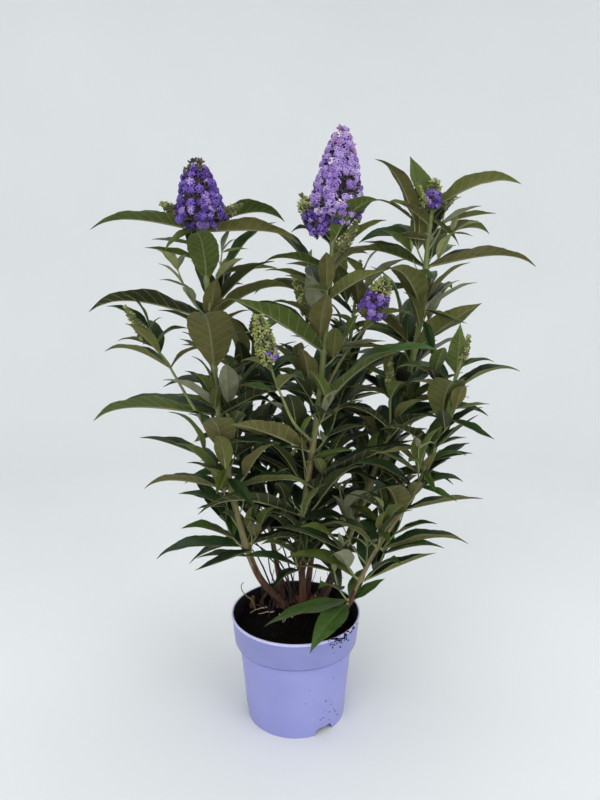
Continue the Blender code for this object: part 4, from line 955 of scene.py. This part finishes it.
def growCyme(core, facing, reach, letter, count, rng, shapes, parts):
    # the first member looks straight out and the others ring it
    first, second = across(facing)
    inBud = letter.isupper()
    for q in range(count + inBud):
        angle = 2.4 * q + rng.uniform(-0.3, 0.3)
        tilt = 0.0 if q == 0 else rng.uniform(0.55, 1.25)
        way = facing * cos(tilt) + (first * cos(angle) + second * sin(angle)) * sin(tilt)
        way.normalize()
        origin = core + way * reach * rng.uniform(0.72, 1.05)
        roll = rng.uniform(0, 6.28)
        if inBud:
            points, faces, caps = shapes["buds"]
            size, slots, ends = budSize * rng.uniform(0.85, 1.35), flowerSlots[letter], flowerSlots[letter]
        else:
            points, faces, bands, caps = shapes["florets"]
            size = floretSize * rng.uniform(0.72, 1.08)
            own = letter if rng.random() < 0.7 else rng.choice("lmvd" if letter in "vd" else "lmwlmlml")
            slots = np.array([flowerSlots[own], flowerSlots["tube"]])[bands]
            ends = np.array([flowerSlots["eye"], flowerSlots["tube"]])
        placed = stand(points, origin, way, roll, size)
        parts["buds" if inBud else "florets"].append((placed, [(faces, slots), (caps, ends)]))


def buildFlowers(masses, nodes):
    rng, shapes = random.Random(17), {"florets": floretShape(), "buds": budShape()}
    parts = {"florets": [], "buds": [], "stalks": [], "cores": []}
    for head in [head for mass in masses for head in mass["heads"]]:
        growHead(head, rng, shapes, parts)
    skins = flowerSkins()
    joinPieces("florets", parts["florets"], skins, nodes)
    joinPieces("buds", parts["buds"] + parts["cores"], skins, nodes)
    return parts["stalks"]


# Stems: canes and boughs with bark relief, then the green twigs that carry the leaves

stemShape = {"sides": 20, "ring": 0.0024, "twigSides": 6, "ridge": 0.05, "bark": 0.00042, "swell": 0.34}
stemTints = {"brown": ("#40281e", "#6a4633"), "tan": ("#766d4c", "#898059"),
             "green": ("#6b7645", "#7f8956"), "cut": ("#a08a66", "#b5a07c"),
             "young": ("#7e8a55", "#929c69"), "dry": ("#2e211b", "#40302a"),
             "root": ("#b3a391", "#cbbcab"), "ash": ("#6f6a64", "#8b867e")}
stemSlots = slotsOf(stemTints)


def stemSkins():
    # old bark flakes and is dry and matt; young shoots are felted green; cut wood is pale and fibrous
    return [finish(f"stem {name}", tints, 5, 0.25 if name == "brown" else 0.10,
                   {"Roughness": 0.82, "IOR": 1.45}, stretch=(1, 1, 0.22), detail=5)
            for name, tints in stemTints.items()]


def rough(angle, wide, height):
    return noise.noise(Vector((cos(angle) * wide, sin(angle) * wide, height)))


def stemPart(path, radii, nodesAt, agedTo, seed):
    # agedTo is where along the stem brown bark gives way to tan, and tan to green
    total = len(path) - 1

    def radiusAt(share, angle):
        # four low ridges, long fissures low down and a swelling at each leaf node
        height = path[round(share * total)].z
        swell = sum(exp(-((height - at) / 0.0032) ** 2) for at in nodesAt)
        relief = rough(angle, 1.9, height * 46 + seed) + 0.5 * rough(angle, 5, height * 210 + seed)
        thick = radii[round(share * total)] * (1 + stemShape["ridge"] * cos(4 * angle)
                                               + stemShape["swell"] * swell)
        return thick + stemShape["bark"] * (1 - 0.75 * share) * relief

    def slotAt(share, angle):
        ragged = share + 0.10 * rough(angle, 1.5, share * 30 + seed)
        return stemSlots["brown" if ragged < agedTo[0] else "tan" if ragged < agedTo[1] else "green"]

    return sweepPart(path, stemShape["sides"], radiusAt, slotAt)


def evenly(path, spacing):
    # the same path with rings at an even spacing
    lengths = [0.0]
    for low, high in zip(path, path[1:]):
        lengths.append(lengths[-1] + (high - low).length)
    made = []
    for at in taper(0, lengths[-1], max(3, round(lengths[-1] / spacing) + 1)):
        index = min(max(0, int(np.searchsorted(lengths, at)) - 1), len(path) - 2)
        share = (at - lengths[index]) / max(lengths[index + 1] - lengths[index], 1e-9)
        made.append(path[index].lerp(path[index + 1], share))
    return made


def buildStems(masses, stalks, nodes):
    skins, parts = stemSkins(), []
    for number, cane in enumerate(canes.values()):
        path = evenly(between(cane["path"], ground - 0.004, cane["path"][-1].z + 0.004, 60),
                      stemShape["ring"])
        radii = [caneRadius(cane, max(p.z, ground)) for p in path]
        parts.append(stemPart(path, radii, [node[0] for node in cane["nodes"]], (0.16, 0.50), number * 7.3))
    for number, bough in enumerate(boughs.values()):
        # a first point just inside the cane, so that the bough grows out of it
        start = atHeight(canes[bough["cane"]]["path"], bough["leavesAt"])[0].lerp(bough["path"][0], 0.4)
        path = [start] + evenly(spline(bough["path"], 40), stemShape["ring"])
        parts.append(stemPart(path, taper(*bough["radii"], len(path)), [], (0.0, 0.35), 60 + number * 5.1))
    for turn, lean, length in prunedStubs:
        start = canes["centre"]["path"][0] + Vector((0, 0, 0.0055)) + heading(turn, 0) * 0.001
        path = [start + heading(turn, 90 - lean) * length * i / 12 for i in range(13)]
        parts.append(sweepPart(
            path, 14, lambda share, angle: 0.0028 * (1 - 0.22 * share)
            * (1 + 0.14 * rough(angle, 2, share * 6 + turn)),
            lambda share, angle: stemSlots["brown"], stemSlots["tan"]))
    joinParts("canes", parts + oldWood(), skins,
              [n for n in nodes if n.startswith(("cane", "bough"))])
    buildTwigs(masses, stalks, skins, [n for n in nodes if n.startswith("foliage")])


# Old wood at the foot: bare dead twigs, short snags, and pale roots that lie on the compost.
# A root is its place, turn and length.
oldShape = {"seed": 5, "twigs": 16, "snags": 46, "foot": (-0.004, 0.034), "twigLength": (0.030, 0.070),
            "snagLength": (0.007, 0.020), "roots": [
                (-0.030, 0.018, 250, 0.024), (-0.022, 0.010, 290, 0.020), (-0.040, 0.030, 215, 0.026),
                (-0.004, 0.002, 200, 0.018), (0.024, 0.020, 340, 0.018), (-0.014, 0.006, 262, 0.013)]}
# bare twigs of last year, most of them leaning from the centre towards the left cane
bareTwigs = [[(0.003, 0.030, 0.128), (-0.018, 0.034, 0.176), (-0.038, 0.030, 0.201),
              (-0.062, 0.026, 0.232)],
             [(0.004, 0.036, 0.128), (-0.012, 0.038, 0.192), (-0.027, 0.040, 0.238)],
             [(-0.005, 0.028, 0.128), (-0.014, 0.024, 0.184), (-0.044, 0.026, 0.213),
              (-0.062, 0.030, 0.222)],
             [(-0.002, 0.040, 0.128), (-0.023, 0.044, 0.172), (-0.034, 0.044, 0.212),
              (-0.031, 0.040, 0.252)],
             [(-0.014, 0.034, 0.128), (-0.033, 0.030, 0.172), (-0.038, 0.028, 0.205)],
             [(0.012, 0.036, 0.128), (0.003, 0.040, 0.190), (-0.011, 0.044, 0.226)],
             [(-0.026, 0.040, 0.128), (-0.050, 0.042, 0.190), (-0.066, 0.038, 0.214)],
             [(0.026, 0.034, 0.128), (0.045, 0.030, 0.166), (0.058, 0.028, 0.186)]]
# a tan strand that curls over the rim at the left, a knot of root, a lump of ash: width, end share, tint
oddWood = [([(-0.056, 0.030, ground), (-0.060, 0.026, 0.139), (-0.067, 0.022, 0.147),
             (-0.073, 0.020, 0.156),
             (-0.074, 0.020, 0.164), (-0.071, 0.020, 0.168)], 0.0010, 0.5, "tan"),
           ([(-0.060, 0.034, 0.126), (-0.060, 0.032, 0.134), (-0.059, 0.030, 0.143)], 0.0050, 0.45,
            "brown"),
           ([(-0.022, 0.036, 0.126), (-0.023, 0.036, 0.133), (-0.024, 0.036, 0.141)], 0.0055, 0.5, "ash")]


def oldWood():
    rng, parts = random.Random(oldShape["seed"]), []
    for number in range(oldShape["twigs"] + oldShape["snags"]):
        snag = number >= oldShape["twigs"]
        x = oldShape["foot"][0] + rng.gauss(0.006 if snag else 0, 0.022 if snag else 0.026)
        y = oldShape["foot"][1] + rng.gauss(0, 0.012)
        x, y = max(-0.052, min(0.046, x)), max(0.008, min(0.062, y))
        length = rng.uniform(*oldShape["snagLength" if snag else "twigLength"])
        turn, rise = rng.uniform(0, 360), rng.uniform(25, 88) if snag else rng.uniform(52, 86)
        path = [Vector((x, y, bedHeight(x, y) - 0.002))]
        for _ in range(5):
            turn, rise = turn + rng.uniform(-26, 26), rise + rng.uniform(-9, 9)
            path.append(path[-1] + heading(turn, rise) * length / 5)
        wide = rng.uniform(0.0012, 0.0030) if snag else rng.uniform(0.0006, 0.0011)
        cut = "cut" if snag and number % 4 == 0 else "dry"
        tint = "brown" if snag and number % 3 else "dry"
        parts.append(woodPart(path, wide, 0.6 if snag else 0.4, tint, cut))
    for x, y, turn, length in oldShape["roots"]:
        path = []
        for i in range(7):
            path.append(Vector((x, y, bedHeight(x, y) + 0.0014 + 0.0035 * sin(pi * i / 6))))
            turn += rng.uniform(-38, 38)
            x, y = x + cos(radians(turn)) * length / 6, y + sin(radians(turn)) * length / 6
        parts.append(woodPart(path, 0.0010, 0.35, "root"))
    odd = [(twig, 0.0014, 0.5, "dry") for twig in bareTwigs] + oddWood
    return parts + [woodPart(path, *rest) for path, *rest in odd]


def woodPart(path, wide, narrow, tint, end=None):
    def radiusAt(share, angle):
        return wide * (1 - (1 - narrow) * share) * (1 + 0.12 * cos(3 * angle + 9 * share))

    return sweepPart(spline(path, 2 * len(path)), 6, radiusAt, lambda share, angle: stemSlots[tint],
                     stemSlots[end or tint])


def buildTwigs(masses, stalks, skins, nodes):
    parts = []
    for path, radii, sides in [tube for mass in masses for tube in mass["tubes"]]:
        widths = taper(radii[0], radii[-1], 3 * len(path))
        parts.append(sweepPart(
            spline(path, len(widths)), stemShape["twigSides"],
            lambda share, angle: widths[round(share * (len(widths) - 1))] * (1 + 0.08 * cos(2 * angle)),
            lambda share, angle: stemSlots["green" if sides > 4 else "young"]))
    for (low, high), wide, narrow in stalks:
        if (high - low).length >= 0.0004:
            parts.append(sweepPart(
                [low, low.lerp(high, 0.5), high], 4, lambda share, angle: wide + (narrow - wide) * share,
                lambda share, angle: stemSlots["young"]))
    joinParts("twigs", parts, skins, nodes)


# Pot: injection moulded polypropylene, lilac outside and black within

# Tints, grain, relief, roughness and detail of each finish, in the order of their slots. The moulded
# plastic has a satin sheen; the lip is painted paler as a highlight and is duller, and the collar and groove
# are painted darker as shade.
potFinishes = {"moulded lilac polypropylene": (("#9294d2", "#9a9cd7"), 60, 0.03, 0.42, 2),
               # the lip's paler tint is a painted highlight on its upward face
               "lip of the pot with painted highlight": (("#c0bee8", "#cccaf0"), 8, 0.05, 0.5, 3),
               # the collar's darker tint is painted shade on its inward slope
               "collar of the pot with painted shade": (("#8488c1", "#8c8fc7"), 40, 0.03, 0.42, 2),
               "black recycled polypropylene": (("#0b0b0c", "#121213"), 12, 0.05, 0.55, 3),
               # the groove's darker tint is painted shade under the collar
               "groove of the pot with painted shade": (("#6266a8", "#6b70b2"), 40, 0.03, 0.42, 2)}


def wallRadius(height):
    # the wall from the foot to the step, the step, and the collar above it
    collarFoot = potShape["height"] - potShape["collarHeight"]
    stepFoot = collarFoot - potShape["stepHeight"]
    top = potShape["rimRadius"] - potShape["lipProud"]
    for low, tall, foot, head in ((collarFoot, potShape["collarHeight"], potShape["collarFoot"], top),
                                  (stepFoot, potShape["stepHeight"], potShape["bodyTop"],
                                   potShape["collarFoot"]),
                                  (0, stepFoot, potShape["footRadius"], potShape["bodyTop"])):
        if height >= low:
            return foot + (head - foot) * ((height - low) / tall)
    return potShape["footRadius"]


def rounded(corners, radius, steps=4):
    # a profile whose inner corners are turned into small arcs
    made = [corners[0]]
    for before, corner, after in zip(corners, corners[1:], corners[2:]):
        a, c, b = (np.array(p, float) for p in (before, corner, after))
        near = min(radius, np.linalg.norm(a - c) * 0.45, np.linalg.norm(b - c) * 0.45)
        start, end = (c + (p - c) / np.linalg.norm(p - c) * near for p in (a, b))
        made += [tuple((1 - s) ** 2 * start + 2 * s * (1 - s) * c + s * s * end)
                 for s in taper(0, 1, steps + 1)]
    return made + [corners[-1]]


def buildPot():
    wall, top, rim, disc = (potShape[name] for name in ("wall", "height", "rimRadius", "disc"))
    collarFoot, lipFoot = top - potShape["collarHeight"], top - potShape["lipHeight"]
    stepFoot, floor = collarFoot - potShape["stepHeight"], potShape["channel"] + wall
    inner = rim - potShape["lipProud"] - wall

    def onWall(height, out=0.0, rise=0.0):
        return wallRadius(height) + out, height + rise

    outside = [(inner, top - 0.0004), (rim - 0.0004, top), (rim, lipFoot), onWall(lipFoot, 0.0001, -0.0006),
               onWall(collarFoot, 0.0003), onWall(collarFoot, -0.0009, -0.0007),
               onWall(collarFoot, -0.0006, -0.0019),
               onWall(stepFoot, 0.0004), *(onWall(z) for z in (stepFoot - 0.03, 0.03, 0.016, 0.008, 0.003)),
               (potShape["footRadius"], 0.0)]
    under = [(potShape["footRadius"] - wall * 1.2, 0.0), onWall(0.005, -wall * 1.2),
             onWall(0.0085, -wall * 1.2, 0.0003),
             (disc + 0.0026, potShape["channel"]), (disc, 0.0), (0.004, 0.0)]
    inside = [(0.004, wall), (disc - 0.0008, wall), (disc + 0.0012, floor), onWall(floor, -wall),
              onWall(stepFoot, -wall),
              onWall(collarFoot, -wall, 0.0006), (inner - 0.0002, top - 0.0012)]
    outer = rounded(outside, 0.0007)
    profile, steps = outer + under + inside, potShape["steps"]
    points = []
    for index, (r, z) in enumerate(profile):
        # the skirt's edge is raised at the water notches
        notched = r > disc + 0.002 and index < len(outer) + 3 and z < 0.016
        points += [(r * cos(angle), r * sin(angle),
                    z + notchLift(angle) * (1 - z / 0.016) if notched else z)
                   for angle in angles(steps)]
    rows, middle = len(profile), len(outer) + len(under)
    faces, bands = gridFaces(rows, steps)[:, ::-1], np.repeat(np.arange(rows - 1), steps)
    closing = [((rows - 1) * steps + k, (rows - 1) * steps + (k + 1) % steps, (k + 1) % steps, k)
               for k in range(steps)]
    lipRows, collarRows = (sum(1 for r, z in outer if z > foot)
                           for foot in (lipFoot - 0.0009, collarFoot - 0.0004))
    # slots: 1 the lip, painted paler as a highlight; 3 the black inside; 2 the collar, painted darker as
    # shade; 0 the lilac wall
    slots = np.select([bands < lipRows - 1, bands >= middle - 1, bands < collarRows - 1], [1, 3, 2], 0)
    depth = np.array([collarFoot - (a[1] + b[1]) / 2 for a, b in zip(profile, profile[1:])])[bands]
    # slot 4 is the groove under the collar, painted darker as shade
    slots[(bands < len(outer)) & (depth > 0.0001) & (depth < 0.0017)] = 4
    # the middle of the floor is closed by two rings
    caps = np.array([np.arange(steps) + (middle - 1) * steps, np.arange(steps)[::-1] + middle * steps])
    keep = bands != middle - 1
    groups = [(faces[keep], slots[keep]), (np.array(closing)[:, ::-1], 3), (caps, np.array([0, 3]))]
    skins = [finish(name, tints, grain, relief, {"Roughness": dull, "IOR": 1.49}, detail=detail)
             for name, (tints, grain, relief, dull, detail) in potFinishes.items()]
    joinParts("pot_shell", [(np.array(points), groups)], skins, ["pot"], 35)


def notchLift(angle):
    # how far the skirt's edge is raised at an angle, for the water notches
    half, lift = potShape["notchWidth"] / 2 / potShape["footRadius"], 0.0
    for number in range(potShape["notches"]):
        turn = radians(potShape["notchTurn"] + 360 / potShape["notches"] * number)
        off = abs((angle - turn + pi) % (2 * pi) - pi) / half
        lift = max(lift, 0.0085 * max(0.0, min(1.0, (1 - off) * 5)) if off < 1 else 0.0)
    return lift


# Compost: dark crumbs of peat and bark; the bed's peat, dark in itself, is tinted almost black as painted
# shade under the plant, and is dull; bark crumbs are a little browner

compostTints = {"peat with painted shade": ("#040303", "#0a0706"), "crumb": ("#070504", "#1c130d")}


def bedHeight(x, y):
    edge = max(0.0, (hypot(x, y) - 0.055) / 0.025)
    mound = 0.0090 * exp(-((x - 0.002) ** 2 + (y - 0.038) ** 2) / 0.0010)
    lumps = noise.noise(Vector((x * 70, y * 70, 3))) * 0.0016
    grains = noise.noise(Vector((x * 260, y * 260, 7))) * 0.0009
    return ground - 0.0008 + mound + (lumps + grains) - 0.0045 * edge * edge


def buildCompost():
    rings, steps, low = 44, 132, ground - 0.03
    brim = wallRadius(ground) - potShape["wall"] - 0.0003
    points = [(x, y, bedHeight(x, y))
              for r in taper(0.0006, brim, rings) for x, y, _ in circle(r, 0, steps)]
    points += circle(wallRadius(low) * 0.97, low, steps)
    parts = [(np.array(points), [(gridFaces(rings + 1, steps), 0), (endFaces(rings + 1, steps), 0)])]
    rng = random.Random(29)
    for _ in range(900):
        reach, angle = brim * np.sqrt(rng.random()) * 0.98, rng.uniform(0, 6.28)
        x, y = reach * cos(angle), reach * sin(angle)
        parts.append(crumb((x, y, bedHeight(x, y) + 0.0003), rng.uniform(0.0006, 0.0020), rng))
    # crumbs spilt on the lip and down the collar at the front right
    for _ in range(90):
        angle, drop = radians(rng.gauss(-47, 9)), abs(rng.gauss(0, 0.006))
        reach = potShape["rimRadius"] + 0.0002 if drop < 0.003 else wallRadius(0.14 - drop) + 0.0003
        parts.append(crumb((reach * cos(angle), reach * sin(angle), 0.1403 - drop),
                           rng.uniform(0.0005, 0.0013), rng))
    # specks lower on the pot
    for _ in range(26):
        angle = radians(rng.gauss(-52, 12))
        height = rng.choice((rng.uniform(0.012, 0.034), rng.uniform(0.03, 0.10)))
        reach = wallRadius(height) + 0.0003
        parts.append(crumb((reach * cos(angle), reach * sin(angle), height), rng.uniform(0.0003, 0.0008),
                           rng))
    damp = {"Roughness": 0.95, "IOR": 1.4, "Specular IOR Level": 0.15}
    skins = [finish(f"matt compost {name}", tints, 4, 0.6, damp, detail=6)
             for name, tints in compostTints.items()]
    joinParts("compost_bed", parts, skins, ["compost"], 80)


def crumb(place, size, rng):
    # an uneven lump with eight corners
    corners = []
    for z in (-0.7, 0.7):
        for k in range(4):
            angle, wide = pi / 2 * k + rng.uniform(-0.4, 0.4), rng.uniform(0.6, 1.1)
            corners.append((cos(angle) * wide, sin(angle) * wide, z * rng.uniform(0.6, 1.1)))
    faces = [(3, 2, 1, 0), (4, 5, 6, 7)] + [(k, (k + 1) % 4, 4 + (k + 1) % 4, 4 + k) for k in range(4)]
    return np.array(corners) * size + np.array(Vector(place)), [(np.array(faces), 1)]


# Studio: a sweep of matt paper, which gives no glare, soft lights and the camera of the photograph

studio = {"paper": ("#e5e7e8", "#e7e9ea"), "radius": 2.3, "bend": 0.9, "height": 4.2, "air": "#eeeff1",
          "glow": 0.55}
cameraPlace = {"location": (0.0056, -0.743, 0.542), "tilt": 80.8, "lens": 27.0, "sensor": 36}
# place, size, power and colour
lights = {"key": ((-0.9, -1.9, 1.6), 1.8, 30, (1.0, 0.99, 0.97)),
          "top": ((0.1, 0.2, 2.6), 2.2, 22, (0.97, 0.99, 1.0)),
          "fill": ((1.4, -1.2, 1.1), 1.4, 10, (0.97, 0.99, 1.0))}
lightsAim = Vector((0, 0, 0.35))


def buildStudio():
    scene, steps, bend = bpy.context.scene, 96, studio["bend"]
    start = studio["radius"] - bend
    profile = [(0.01, 0.0), (1.0, 0.0), *((start + bend * sin(a), bend * (1 - cos(a)))
                                          for a in taper(0, pi / 2, 13)),
               (studio["radius"], studio["height"])]
    mesh = bpy.data.meshes.new("studio_sweep")
    faces = gridFaces(len(profile), steps).tolist() + [list(reversed(range(steps)))]
    mesh.from_pydata([p for r, z in profile for p in circle(r, z, steps)], [], faces)
    mesh.materials.append(finish("matt studio paper", studio["paper"], 400, 0.01, {"Roughness": 0.9},
                                 detail=1))
    mesh.shade_smooth()
    sweep = bpy.data.objects.new("studio_sweep", mesh)
    placed = [sweep]
    for name, (place, size, power, colour) in lights.items():
        lamp = bpy.data.lights.new(name, "AREA")
        lamp.shape, lamp.size, lamp.size_y, lamp.energy, lamp.color = "RECTANGLE", size, size, power, colour
        placed.append(bpy.data.objects.new(name, lamp))
        placed[-1].location = place
        placed[-1].rotation_euler = (lightsAim - Vector(place)).to_track_quat("-Z", "Y").to_euler()
    world = bpy.data.worlds.new("soft room light")
    world.use_nodes = True
    air = world.node_tree.nodes["Background"]
    air.inputs["Color"].default_value = linearColour(studio["air"])
    air.inputs["Strength"].default_value = studio["glow"]
    scene.world = world
    scene.view_settings.view_transform = "Standard"
    camera = bpy.data.cameras.new("camera")
    camera.lens, camera.sensor_width = cameraPlace["lens"], cameraPlace["sensor"]
    scene.camera = bpy.data.objects.new("camera", camera)
    scene.camera.location = cameraPlace["location"]
    scene.camera.rotation_euler = (radians(cameraPlace["tilt"]), 0, 0)
    for thing in (*placed, scene.camera):
        scene.collection.objects.link(thing)


masses, space = growPlant()
growFiner(space, masses)
print("grown:", sum(len(mass["leaves"]) for mass in masses), "leaves in", len(masses), "masses")
foliageNodes = [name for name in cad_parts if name.startswith("foliage")]
buildLeaves(masses, foliageNodes)
stalks = buildFlowers(masses, foliageNodes)
buildStems(masses, stalks, list(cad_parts))
buildPot()
buildCompost()
buildStudio()
